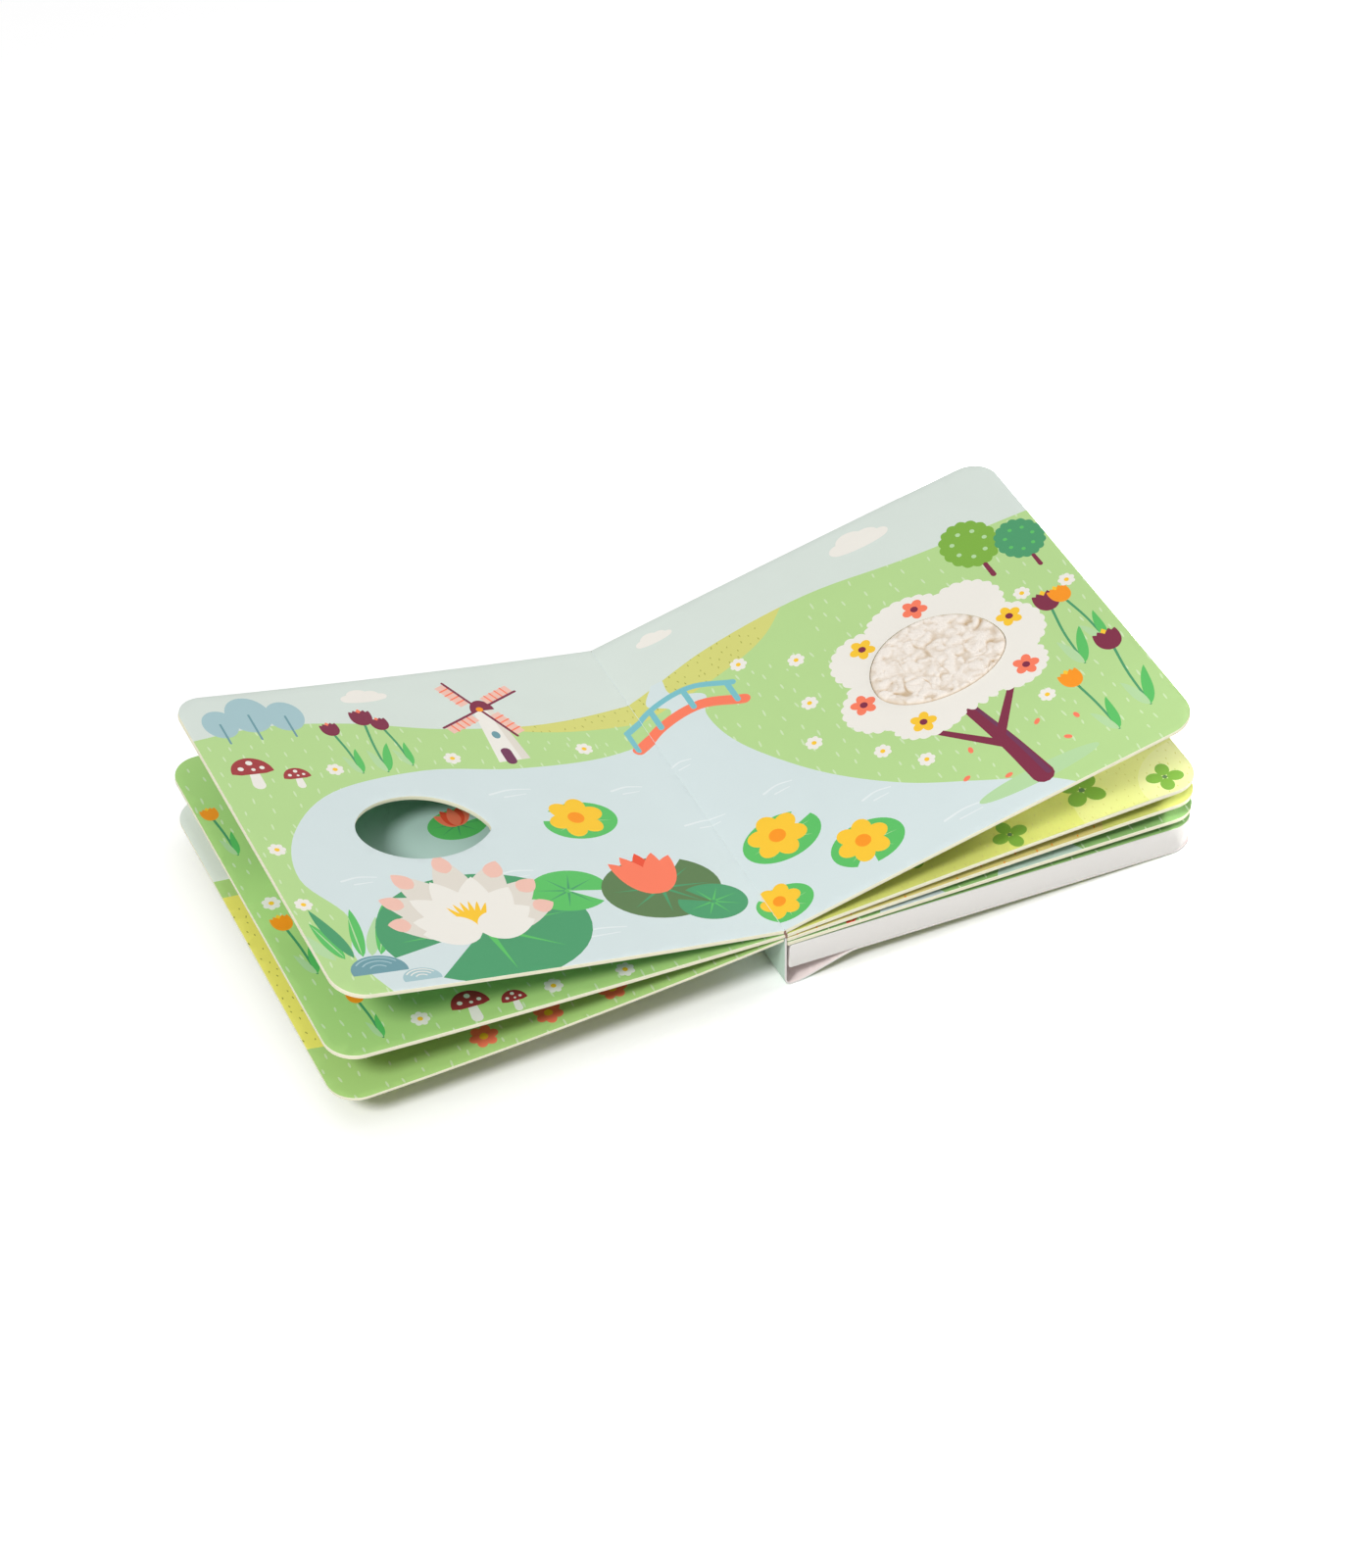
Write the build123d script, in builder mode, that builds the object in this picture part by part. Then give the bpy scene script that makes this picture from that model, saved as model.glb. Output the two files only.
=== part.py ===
from build123d import *
from dataclasses import dataclass
from math import cos, radians, sin, tan
import os

# Touch-and-feel board book, lying open near its middle on a table. Stiff card leaves stand in a fan on
# both sides of a glued gutter. The open left leaf has a peep-hole, the open right leaf a fleece patch in
# an oval window. A thin card wrap is folded round the spine and glued under a thick back board.
#
# Units are millimetres and degrees. +X runs from the left pages to the right ones, +Y along the gutter
# from tail to head, +Z up. The origin is on the table, under the middle of the gutter.

# Leaves
page_width = 180.0  # from the gutter to the fore-edge
page_height = 178.0  # from tail to head
corner_radius = 12.0  # fore-edge corners of every leaf and board
leaf_thickness = 1.9
leaf_spacing = 0.35  # air between neighbouring leaves where they leave the glue
glued_width = 3.0  # glued strip on each side of the gutter

# Fan: each leaf opens from its neighbour below at the gutter, and has curled up further at its fore-edge
last_leaf_opening_angle = 1.2  # from the back board
last_leaf_curl_angle = -0.3
third_right_leaf_opening_angle = 2.0
third_right_leaf_curl_angle = -0.6
second_right_leaf_opening_angle = 2.3
second_right_leaf_curl_angle = -1.6
fleece_leaf_opening_angle = 9.9
fleece_leaf_curl_angle = -1.2
front_cover_droop_angle = 5.4  # slope below level at the hinge
front_cover_curl_angle = 5.4
lower_left_leaf_opening_angle = 8.2  # from the front cover
lower_left_leaf_curl_angle = 2.0
peep_leaf_opening_angle = 8.8
peep_leaf_curl_angle = 2.8

# Peep-hole: a teardrop with its tip towards the gutter
peep_hole_place = 0.63  # its widest place, as a share of the page width from the gutter
peep_hole_from_middle = -2.0  # towards the tail
peep_hole_width = 37.0
peep_hole_round_reach = 25.0  # from the widest place to the round end
peep_hole_tip_reach = 28.0  # from the widest place to the tip
peep_hole_tip_drop = 5.7  # tip's offset towards the tail
peep_hole_tip_radius = 1.2

# Fleece in its oval window, which is fuller towards the tail
fleece_place = 0.62  # its widest place, as a share of the page width from the gutter
fleece_from_middle = -3.1  # towards the tail
fleece_length = 56.4
fleece_head_reach = 25.6  # from the widest place
fleece_tail_reach = 18.0
window_depth = 1.1
pile_height = 1.5  # above the page
pile_rounding = 1.0

# Covers: the front board, the thick back board and the wrap folded round it
front_cover_thickness = 1.4
back_board_thickness = 11.7
back_board_tilt_angle = 2.6  # fore-edge on the table, spine side raised
back_board_spine_gap = 1.2  # from the spine panel
back_board_inset = 0.8  # from the fore-edge of the wrap
back_board_edge_rounding = 1.2
wrap_thickness = 0.8
wrap_flat_reach = 6.2  # from the spine to where the back panel leaves the table
wrap_glue_start = 28.8  # where the back panel meets the board, from the spine
wrap_fold_radius = 3.0
wrap_foot_radius = 9.0
wrap_shoulder_radius = 14.0

clearance = 0.3

# Heights at the gutter, from the table up
board_tilt = radians(back_board_tilt_angle)
board_left = wrap_thickness + back_board_spine_gap
board_rise = (page_width - board_left) * tan(board_tilt)
board_top = board_rise + (wrap_thickness + back_board_thickness) / cos(board_tilt)
leaf_pitch = leaf_thickness + leaf_spacing
last_leaf_level = board_top + clearance
third_right_leaf_level = last_leaf_level + leaf_pitch
lower_spread_level = third_right_leaf_level + leaf_pitch
open_spread_level = lower_spread_level + leaf_pitch
gutter_level = open_spread_level + leaf_thickness
spine_top = lower_spread_level - clearance

# Slopes at the gutter
last_leaf_lift = last_leaf_opening_angle - back_board_tilt_angle
third_right_leaf_lift = last_leaf_lift + third_right_leaf_opening_angle
second_right_leaf_lift = third_right_leaf_lift + second_right_leaf_opening_angle
fleece_leaf_lift = second_right_leaf_lift + fleece_leaf_opening_angle
lower_left_leaf_lift = lower_left_leaf_opening_angle - front_cover_droop_angle
peep_leaf_lift = lower_left_leaf_lift + peep_leaf_opening_angle

# Hinge line of the front cover, beside the top of the spine panel
hinge_x = -clearance - front_cover_thickness / 2
hinge_z = spine_top - front_cover_thickness / 2

RIGHT = 1
LEFT = -1
QUARTER_TURN = 90
HALF_TURN = 180


@dataclass
class Leaf:
    """A bent card: where its underside starts, its side, its slope there and how much more it curls."""

    start: Vector
    side: int
    lift: float
    curl: float
    length: float
    thickness: float = leaf_thickness

    @property
    def bend_radius(self):
        """Radius of the underside, positive where the card curls up."""
        return self.length / radians(self.curl)

    def top_plane(self, distance, height):
        """Plane on the upper face at a distance from the start, with X to the right and Y to the head."""
        first = radians(self.lift)
        slope = radians(self.lift + self.curl * distance / self.length)
        run = self.bend_radius * (sin(slope) - sin(first)) - self.thickness * sin(slope)
        rise = self.bend_radius * (cos(first) - cos(slope)) + self.thickness * cos(slope)
        return Plane(
            origin=(self.start.X + self.side * run, height, self.start.Y + rise),
            x_dir=(cos(slope), 0, self.side * sin(slope)),
            z_dir=(-self.side * sin(slope), 0, cos(slope)),
        )


class LeafSection(BaseSketchObject):
    """Section of one bent card across the gutter."""

    def __init__(self, leaf, mode=Mode.ADD):
        slope = radians(leaf.lift)
        along = Vector(leaf.side * cos(slope), sin(slope))
        up = Vector(-leaf.side * sin(slope), cos(slope))
        turn = leaf.side * leaf.curl
        with BuildSketch() as section:
            with BuildLine():
                under = JernArc(leaf.start, along, abs(leaf.bend_radius), turn)
                over = JernArc(
                    leaf.start + up * leaf.thickness, along, abs(leaf.bend_radius - leaf.thickness), turn
                )
                Line(under @ 0, over @ 0)
                Line(under @ 1, over @ 1)
            make_face()
        super().__init__(section.sketch, align=None, mode=mode)


class FleeceOval(BaseSketchObject):
    """Oval of the window, or of the fleece with a margin: two half ellipses that share their widest place."""

    def __init__(self, margin=0.0, mode=Mode.ADD):
        half_length = fleece_length / 2 - margin
        with BuildSketch() as oval:
            with BuildLine():
                for reach, start in ((fleece_head_reach, 0), (fleece_tail_reach, HALF_TURN)):
                    EllipticalCenterArc((0, 0), half_length, reach - margin, start, arc_size=HALF_TURN)
            make_face()
        super().__init__(oval.sketch, align=None, mode=mode)


def fore_edge_corners(piece, thickness):
    """Short edges at the outer corners of each leaf or board in a piece."""
    return [
        edge
        for edge in piece.edges().filter_by(GeomType.LINE)
        if abs(edge.length - thickness) < thickness / 100 and abs(edge.center().X) > page_width / 2
    ]


# Pages: the fan of leaves, joined by the glued strip at the gutter
stack_left = wrap_thickness + clearance
stack_length = page_width - stack_left
open_start = Vector(0, open_spread_level)
lower_start = Vector(stack_left, lower_spread_level)
third_start = Vector(stack_left, third_right_leaf_level)
last_start = Vector(stack_left, last_leaf_level)
peep_leaf = Leaf(open_start, LEFT, peep_leaf_lift, peep_leaf_curl_angle, page_width)
lower_left_leaf = Leaf(
    lower_start, LEFT, lower_left_leaf_lift, lower_left_leaf_curl_angle, page_width + stack_left
)
fleece_leaf = Leaf(open_start, RIGHT, fleece_leaf_lift, fleece_leaf_curl_angle, page_width)
second_right_leaf = Leaf(
    lower_start, RIGHT, second_right_leaf_lift, second_right_leaf_curl_angle, stack_length
)
third_right_leaf = Leaf(
    third_start, RIGHT, third_right_leaf_lift, third_right_leaf_curl_angle, stack_length
)
last_leaf = Leaf(last_start, RIGHT, last_leaf_lift, last_leaf_curl_angle, stack_length)

peep_plane = peep_leaf.top_plane(peep_hole_place * page_width, peep_hole_from_middle)
fleece_plane = fleece_leaf.top_plane(fleece_place * page_width, fleece_from_middle)

with BuildPart() as pages:
    with BuildSketch(Plane.XZ):
        for leaf in (peep_leaf, lower_left_leaf, fleece_leaf, second_right_leaf, third_right_leaf, last_leaf):
            LeafSection(leaf)
        with BuildLine():
            glue_right = stack_left + glued_width
            upper_glue = lower_spread_level + leaf_thickness / 2
            lower_glue = last_leaf_level + leaf_thickness / 2
            Polyline(
                (-glued_width, upper_glue),
                (stack_left, upper_glue),
                (stack_left, lower_glue),
                (glue_right, lower_glue),
                (glue_right, gutter_level),
                (-glued_width, gutter_level),
                close=True,
            )
        make_face()
    extrude(amount=page_height / 2, both=True)
    fillet(fore_edge_corners(pages, leaf_thickness), radius=corner_radius)

    # Peep-hole right through the open left leaf
    with BuildSketch(peep_plane) as peep_hole:
        with BuildLine():
            tip = (peep_hole_tip_reach, -peep_hole_tip_drop)
            half_width = peep_hole_width / 2
            EllipticalCenterArc((0, 0), peep_hole_round_reach, half_width, QUARTER_TURN, arc_size=HALF_TURN)
            TangentArc((0, half_width), tip, tangent=(1, 0))
            TangentArc((0, -half_width), tip, tangent=(1, 0))
        make_face()
        fillet(peep_hole.vertices().sort_by(Axis.X)[-1], radius=peep_hole_tip_radius)
    extrude(amount=2 * leaf_thickness, both=True, mode=Mode.SUBTRACT)

    # Blind window for the fleece in the open right leaf
    with BuildSketch(fleece_plane):
        FleeceOval()
    extrude(amount=-window_depth, mode=Mode.SUBTRACT)
pages.part.label = "pages"

# Fleece patch, seated on the floor of its window
with BuildPart() as fleece_patch:
    with BuildSketch(fleece_plane.offset(-window_depth)):
        FleeceOval(margin=clearance)
    extrude(amount=window_depth + pile_height)
    fillet(fleece_patch.faces().sort_by(Axis.Z)[-1].edges(), radius=pile_rounding)
fleece_patch.part.label = "fleece_patch"

# Front cover, with a round edge along the hinge
half_cover = front_cover_thickness / 2
cover_slope = radians(-front_cover_droop_angle)
cover_start = Vector(hinge_x, hinge_z) - Vector(sin(cover_slope), cos(cover_slope)) * half_cover
front_cover_leaf = Leaf(
    cover_start,
    LEFT,
    -front_cover_droop_angle,
    front_cover_curl_angle,
    page_width + hinge_x,
    front_cover_thickness,
)
with BuildPart() as front_cover:
    with BuildSketch(Plane.XZ):
        LeafSection(front_cover_leaf)
        with Locations((hinge_x, hinge_z)):
            Circle(half_cover)
    extrude(amount=page_height / 2, both=True)
    fillet(fore_edge_corners(front_cover, front_cover_thickness), radius=corner_radius)
front_cover.part.label = "front_cover"

# Thick back board, drawn along its tilt from the fore-edge towards the spine
board_plane = Plane(
    origin=(page_width, 0, 0),
    x_dir=(-cos(board_tilt), 0, sin(board_tilt)),
    z_dir=(0, 1, 0),
)
with BuildPart() as back_board:
    with BuildSketch(board_plane):
        with BuildLine():
            board_reach = (page_width - board_left) / cos(board_tilt)
            Polyline(
                (back_board_inset, wrap_thickness),
                (board_reach, wrap_thickness),
                (board_reach, wrap_thickness + back_board_thickness),
                (back_board_inset, wrap_thickness + back_board_thickness),
                close=True,
            )
        make_face()
    extrude(amount=page_height / 2, both=True)
    fillet(fore_edge_corners(back_board, back_board_thickness), radius=corner_radius)
    fillet(back_board.edges().filter_by(Axis.Y).group_by(Axis.X)[0], radius=back_board_edge_rounding)
back_board.part.label = "back_board"

# Wrap: spine panel, fold on the table, free back panel and the panel glued under the board
with BuildPart() as spine_and_back_cover:
    with BuildSketch(Plane.XZ):
        with BuildLine():
            FilletPolyline(
                (0, spine_top),
                (0, 0),
                (wrap_flat_reach, 0),
                (wrap_glue_start, (page_width - wrap_glue_start) * tan(board_tilt)),
                (page_width, 0),
                radius=(wrap_fold_radius, wrap_foot_radius, wrap_shoulder_radius),
            )
            offset(amount=wrap_thickness, side=Side.LEFT)
        make_face()
    extrude(amount=page_height / 2, both=True)
    fillet(fore_edge_corners(spine_and_back_cover, wrap_thickness), radius=corner_radius)
spine_and_back_cover.part.label = "spine_and_back_cover"

os.makedirs("parts", exist_ok=True)
for piece in (pages, fleece_patch, front_cover, back_board, spine_and_back_cover):
    export_step(piece.part, f"parts/{piece.part.label}.step")
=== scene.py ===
"""Looks of an open touch-and-feel board book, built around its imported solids."""

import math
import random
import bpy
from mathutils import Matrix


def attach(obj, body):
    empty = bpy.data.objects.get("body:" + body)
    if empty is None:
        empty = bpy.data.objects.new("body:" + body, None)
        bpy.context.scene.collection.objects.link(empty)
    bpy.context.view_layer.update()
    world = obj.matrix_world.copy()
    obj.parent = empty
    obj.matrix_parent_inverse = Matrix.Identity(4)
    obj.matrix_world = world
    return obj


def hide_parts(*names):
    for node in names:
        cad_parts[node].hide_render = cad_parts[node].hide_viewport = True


bl_info = {
    "name": "Tactile board book",
    "version": (1, 0, 0),
    "blender": (4, 5, 0),
    "location": "View3D > Sidebar > Book",
    "description": "Builds the leaves, print, fleece and covers of an open board book around its solids",
    "category": "Object",
}

import bpy
import numpy as np
from bpy.props import FloatProperty, FloatVectorProperty, PointerProperty
from mathutils import Matrix, Vector
from mathutils.geometry import delaunay_2d_cdt

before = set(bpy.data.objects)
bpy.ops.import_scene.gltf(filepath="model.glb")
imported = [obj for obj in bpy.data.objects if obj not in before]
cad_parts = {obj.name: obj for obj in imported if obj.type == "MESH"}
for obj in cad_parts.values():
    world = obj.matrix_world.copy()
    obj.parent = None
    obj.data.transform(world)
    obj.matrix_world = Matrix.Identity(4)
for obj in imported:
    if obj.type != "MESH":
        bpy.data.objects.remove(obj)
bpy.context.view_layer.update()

MM = 0.001
LEFT, RIGHT = -1, 1

# Places in millimetres and degrees that follow the solids
BOARD_TILT = 2.6
SPINE_GAP = 1.2
BOARD_INSET = 0.8
LEAF_SPACING = 0.35
CLEARANCE = 0.3
COVER_DROOP = 5.4
WRAP_FLAT_REACH = 6.2
WRAP_GLUE_START = 28.8
WRAP_RADII = (3.0, 9.0, 14.0)
HOLE_PLACE = 0.63
HOLE_FROM_MIDDLE = -2.0
HOLE_HALF_HEIGHT = 18.5
HOLE_ROUND_REACH = 25.0
HOLE_TIP = (28.0, -5.7)
HOLE_TIP_BLUNT = 0.6
FLEECE_PLACE = 0.62
FLEECE_FROM_MIDDLE = -3.1
FLEECE_HALF_LENGTH = 28.2
FLEECE_HEAD_REACH = 25.6
FLEECE_TAIL_REACH = 18.0
FLEECE_MARGIN = 0.2
WINDOW_DEPTH = 1.1

# Details in millimetres and degrees that only the looks have
BOARD_SHIFT = 0.4
BOARD_ROUNDING = 0.35
BOARD_NOSE = 1.2
BOARD_NOSE_LINES = (0.1, 0.25, 0.5, 0.8, BOARD_NOSE)
COVER_LAP = 0.55
WRAP_ROUNDING = 0.12
FOLD_REACH = 1.5
GLUE_REACH = (2.6, 3.9)
GLUE_STEP = 1.1
GLUE_INSET = 1.0
GLUE_CREST_DROP = 0.05
GLUE_SHOULDER = 0.87
# The seam is a brown strip at the gutter's tail end: partly glue, partly painted shade of the gap between the
# two halves
SEAM_PROUD = 0.03
SEAM_WIDTH = 0.95
SEAM_LINE = ((0.05, 1.0), (-0.05, 0.72), (0.3, 0.5), (0.62, 0.3), (0.6, 0.0))
CARD_PITCH = 6.0
WRAP_PITCH = 2.0
BEND_STEPS = 60
SHARP_ANGLE = 40

# The fleece's mesh and rim in millimetres, and its curls and creases as shares of the pile; SHOWN_FROM,
# SHOWN_SPAN and RIM_SHADE set its painted shade in the creases and at the rim
PILE_PITCH = 0.32
PILE_RIM_ROOM = 0.25
PILE_BASE = 0.05
PILE_RIM_SHARE = 0.07
PILE_RIM_DROP = 0.3
PILE_LOW = 0.15
WAVE_PEAK = 1.6
CURL_REACH = (0.68, 1.12)
CURL_HEIGHT = (0.5, 1.0)
CURL_BLEND = 9.0
CURL_PEAK = 1.1
LARGE_CURLS = 0.62
SMALL_CURLS = 0.3
SWIRL_PITCH = 3
SWIRL_REACH = 0.5
FOLD_PITCH = 5.5
CREASE_PITCH = 7
CREASE_WIDTH = 0.17
CREASE_DEPTH = 0.4
SHOWN_FROM = 0.08
SHOWN_SPAN = 0.66
RIM_SHADE = 0.45
FUZZ_HEIGHT = 0.06
FUZZ_PITCH = 0.9

# Stage in metres; the camera's sensor and lens in millimetres
FLOOR_HALF = 4.0
FLOOR_PALE = 0.93
LEFT_FADE = (0.008, -0.035)
LEFT_LIFT = 1.25
RIGHT_FADE = 0.008
KEY_PLACE = (-2.35, -1.45, 3.10)
FILL_PLACE = (0.25, -1.30, 0.22)
SIDE_PLACE = (1.60, 0.0, 0.60)
RIGHT_AIM = (0.9, -0.44)
RIGHT_FROM_AIM = (0.55, 0.02, 0.24)
SENSOR_WIDTH = 36
LENS = 99.66
VIEW_END = 20
CAMERA_PLACE = (-0.50734, -1.13140, 1.16063)
CAMERA_LOOK = (0.30270, 0.67418, -0.67368)
CAMERA_RIGHT = (0.90685, -0.42121, -0.01406)

# Each leaf: its side, its level at the gutter, its slope there, how much more it curls, and how far its
# card stays back from the start of its line
FAN = {
    "open_left_leaf": (LEFT, "open", 11.6, 2.8, 0.45),
    "lower_left_leaf": (LEFT, "lower", 2.8, 2.0, 0.75),
    "open_right_leaf": (RIGHT, "open", 12.8, -1.2, 0.45),
    "second_right_leaf": (RIGHT, "lower", 2.9, -1.6, 0.0),
    "third_right_leaf": (RIGHT, "third", 0.6, -0.6, 0.0),
    "last_right_leaf": (RIGHT, "last", -1.4, -0.3, 0.0),
}


# Settings that a user would change


def length(name, description, default_mm):
    """A size in the scene's metres, given here in millimetres."""
    return FloatProperty(
        name=name, description=description, default=default_mm * MM, min=0, unit="LENGTH", precision=5
    )


def amount(name, description, default):
    """A power or a strength."""
    return FloatProperty(name=name, description=description, default=default, min=0)


def ink(name, description, code):
    """A display colour from its six-figure code."""
    parts = tuple(int(code[i : i + 2], 16) / 255 for i in (0, 2, 4))
    return FloatVectorProperty(
        name=name, description=description, default=parts, size=3, min=0, max=1, subtype="COLOR_GAMMA"
    )


class BookSizes(bpy.types.PropertyGroup):
    page_width: length("Page width", "From the gutter to the fore-edge", 180)
    page_height: length("Page height", "From tail to head", 178)
    corner_radius: length("Corner radius", "Fore-edge corners of leaves and boards", 12)
    leaf_thickness: length("Leaf thickness", "Card of one leaf", 1.9)
    cover_thickness: length("Front cover thickness", "Card of the front cover", 1.4)
    board_thickness: length("Back board thickness", "Thick board under the right pages", 11.7)
    wrap_thickness: length("Wrap thickness", "Card folded round the spine", 0.8)
    edge_rounding: length("Edge rounding", "Rounding that the cutting die leaves on a leaf", 0.22)


class PrintInks(bpy.types.PropertyGroup):
    sky: ink("Sky", "Pale field at the head of the spread", "DDE7DF")
    meadow: ink("Meadow", "Main green of the spread", "BADD93")
    grass_fleck: ink("Grass fleck", "Short pale strokes on the meadow", "D3EABB")
    field: ink("Field", "Yellow field behind the meadow", "DADA7C")
    field_fleck: ink("Field fleck", "Dark specks on the yellow field", "A9AC4B")
    pond: ink("Pond", "Water", "DAE7E7")
    # Pool: water print, greener than the pond; the green is partly painted bounce light from the leaf above
    pool: ink("Pool", "Water under the peep-hole", "C0DDD4")
    ripple: ink("Ripple", "Pale lines on the water", "EAF2F2")
    cream: ink("Cream", "Blossom, clouds and tree crowns", "F5F1E8")
    shade: ink("Cream shade", "Back petals", "E7E0D4")
    blush: ink("Blush", "Petal tips", "F6C6B6")
    yellow: ink("Yellow", "Marigolds", "FFCC33")
    orange: ink("Orange", "Flower hearts", "FF9A1A")
    coral: ink("Coral", "Bridge and buds", "FF8060")
    red: ink("Red", "Small accents", "F05436")
    burgundy: ink("Burgundy", "Trunks and tulips", "7D2240")
    plum: ink("Plum", "Shaded trunks", "6E2F52")
    brick: ink("Brick", "Toadstools", "A23538")
    leaf: ink("Leaf green", "Blades of grass", "5CC264")
    pale_leaf: ink("Pale leaf", "Blades in the light", "B9DDA6")
    deep_green: ink("Deep green", "Lily pads and stems", "4A9C6A")
    moss: ink("Moss", "Shaded leaves", "5B7B4C")
    olive: ink("Olive", "Undersides of the leaves", "8A922C")
    clover: ink("Clover", "Low plants", "7FB23F")
    slate: ink("Slate", "Stones", "6F9DA6")
    mist: ink("Mist", "Distant trees", "A9C9CE")
    rail: ink("Rail blue", "Bridge rails", "7CC3CC")
    mint: ink("Mint", "Outside of the covers", "CDE5D5")
    lime: ink("Lime", "Second right page", "E3E77C")
    # Lighter limes: painted light on the far corner of the second right page, which the open leaf shades
    lime_painted_light: ink("Lime light", "Lighter corner of the second right page", "E9EC94")
    lime_painted_brightest: ink("Lime pale", "Palest corner of the second right page", "EEF0AC")
    amber: ink("Amber", "Third right page", "E9D986")
    grass: ink("Grass", "Lower right pages", "9CCB79")
    lawn: ink("Lawn", "Left pages under the open one", "B4DE86")
    # Lighter copies of the field and sky: painted light inside the front cover, which lies in shade
    dandelion_painted_light: ink("Dandelion", "Yellow field inside the front cover", "F6F274")
    haze_painted_light: ink("Haze", "Sky inside the front cover", "E9F3EB")
    core: ink("Card core", "Cut edge of the card", "EEEACF")
    paper: ink("Paper", "Lining paper at the cut edge", "F4F1DC")
    board: ink("Board white", "Thick back board", "E1DEDA")
    lining: ink("Wrap lining", "Inside of the wrap", "F9EBE8")
    # Glue line: partly glue, partly painted shade of the gap between the halves at the tail end
    glue: ink("Glue line", "Binding at the gutter", "96766A")


class FleeceLook(bpy.types.PropertyGroup):
    pile: ink("Pile", "Tips of the pile", "FEF5EB")
    # Crease: colour at the foot of the pile, partly the pile's own base and partly painted shade between the
    # curls and at the rim
    crease: ink("Crease", "Base of the pile between curls", "CCAE85")
    clump: length("Clump size", "Spacing of the pile's curls", 2.7)
    crown: length("Crown", "Height of the pile above the page", 1.15)


class StageLook(bpy.types.PropertyGroup):
    key: amount("Key light", "Power of the near-left lamp in watts", 100)
    key_size: length("Key size", "Width of the near-left lamp", 1050)
    fill: amount("Fill light", "Power of the low front lamp in watts", 3.4)
    fill_size: length("Fill size", "Width of the low front lamp", 500)
    side: amount("Side light", "Power of the soft lamp on the right in watts", 8.6)
    side_size: length("Side size", "Width of the soft lamp on the right", 500)
    right: amount("Right light", "Power of the narrow lamp on the right end in watts", 0.016)
    right_size: length("Right size", "Width of the narrow lamp on the right end", 60)
    right_spread: FloatProperty(
        name="Right spread", description="Beam of the narrow lamp",
        default=math.radians(11), min=0.05, subtype="ANGLE",
    )
    ambient: amount("Ambient", "Strength of the white surroundings overhead", 0.55)
    horizon: amount("Horizon", "Strength of the white surroundings low down", 0.02)
    floor_white: amount("Floor white", "How pale the floor is seen by the book", 1.2)
    backdrop_white: amount("Backdrop white", "How pale the floor is seen past the book's right end", 3.8)


class BookSettings(bpy.types.PropertyGroup):
    sizes: PointerProperty(type=BookSizes, name="Sizes", description="Sizes of the book")
    inks: PointerProperty(type=PrintInks, name="Inks", description="Colours of print, card and board")
    fleece: PointerProperty(type=FleeceLook, name="Fleece", description="Look of the fleece patch")
    stage: PointerProperty(type=StageLook, name="Stage", description="Light around the book")


def linear(colour):
    """A display colour as the linear values that shaders use."""
    return tuple(c / 12.92 if c <= 0.04045 else ((c + 0.055) / 1.055) ** 2.4 for c in colour)


# Outlines, in millimetres on the page


def through(p, steps):
    """Curve runs between the inner points of p."""
    t = np.linspace(0, 1, steps, endpoint=False)[:, None]
    return [
        0.5 * (2 * b + (c - a) * t + (2 * a - 5 * b + 4 * c - d) * t**2 + (3 * b - a - 3 * c + d) * t**3)
        for a, b, c, d in zip(p, p[1:], p[2:], p[3:])
    ]


def smooth_line(points, steps=7):
    """An open curve through points."""
    p = np.array(points, float)
    return np.vstack(through(np.vstack([2 * p[0] - p[1], p, 2 * p[-1] - p[-2]]), steps) + [p[-1]])


def smooth_loop(points, steps=7):
    """A closed curve through points."""
    p = np.array(points, float)
    return np.vstack(through(np.vstack([p[-1], p, p[:2]]), steps))


def oval(x, y, rx, ry=None, turn=0.0, steps=32):
    """An ellipse, turned anticlockwise by degrees."""
    a = np.linspace(0, math.tau, steps, endpoint=False)
    return turned(np.c_[rx * np.cos(a), (rx if ry is None else ry) * np.sin(a)], turn) + (x, y)


def turned(points, degrees):
    """Points turned anticlockwise about the origin."""
    c, s = math.cos(math.radians(degrees)), math.sin(math.radians(degrees))
    return np.array(points, float) @ np.array([[c, s], [-s, c]])


def tufted(x, y, rx, ry, tufts, depth, turn=0.0):
    """An oval with a soft zigzag rim."""
    a = np.linspace(0, math.tau, tufts * 8, endpoint=False)
    rim = 1 + depth * (np.abs(np.sin(a * tufts / 2)) - 0.5)
    return turned(np.c_[rx * rim * np.cos(a), ry * rim * np.sin(a)], turn) + (x, y)


def blade(x, y, reach, width, heading, bow=0.0):
    """A pointed leaf from its base, bowed sideways by bow."""
    t = np.linspace(0, 1, 13)
    side = width / 2 * np.sin(np.pi * np.clip(t, 0, 1) ** 0.8) ** 0.8
    mid = bow * np.sin(np.pi * t / 2) ** 2
    rim = np.vstack([np.c_[reach * t, mid - side], np.c_[reach * t, mid + side][-2:0:-1]])
    return turned(rim, heading) + (x, y)


def band(points, width, end_width=None):
    """A ribbon along a smooth line, with round ends."""
    line = smooth_line(points)
    ahead = np.gradient(line, axis=0)
    ahead /= np.linalg.norm(ahead, axis=1)[:, None]
    across = np.c_[-ahead[:, 1], ahead[:, 0]]
    half = np.linspace(width, width if end_width is None else end_width, len(line))[:, None] / 2
    cap = np.linspace(-60, 60, 5)
    last = [line[-1] + turned(ahead[-1] * half[-1], d) for d in cap]
    first = [line[0] + turned(-ahead[0] * half[0], d) for d in cap]
    return np.vstack([line - across * half, last, (line + across * half)[::-1], first])


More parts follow.
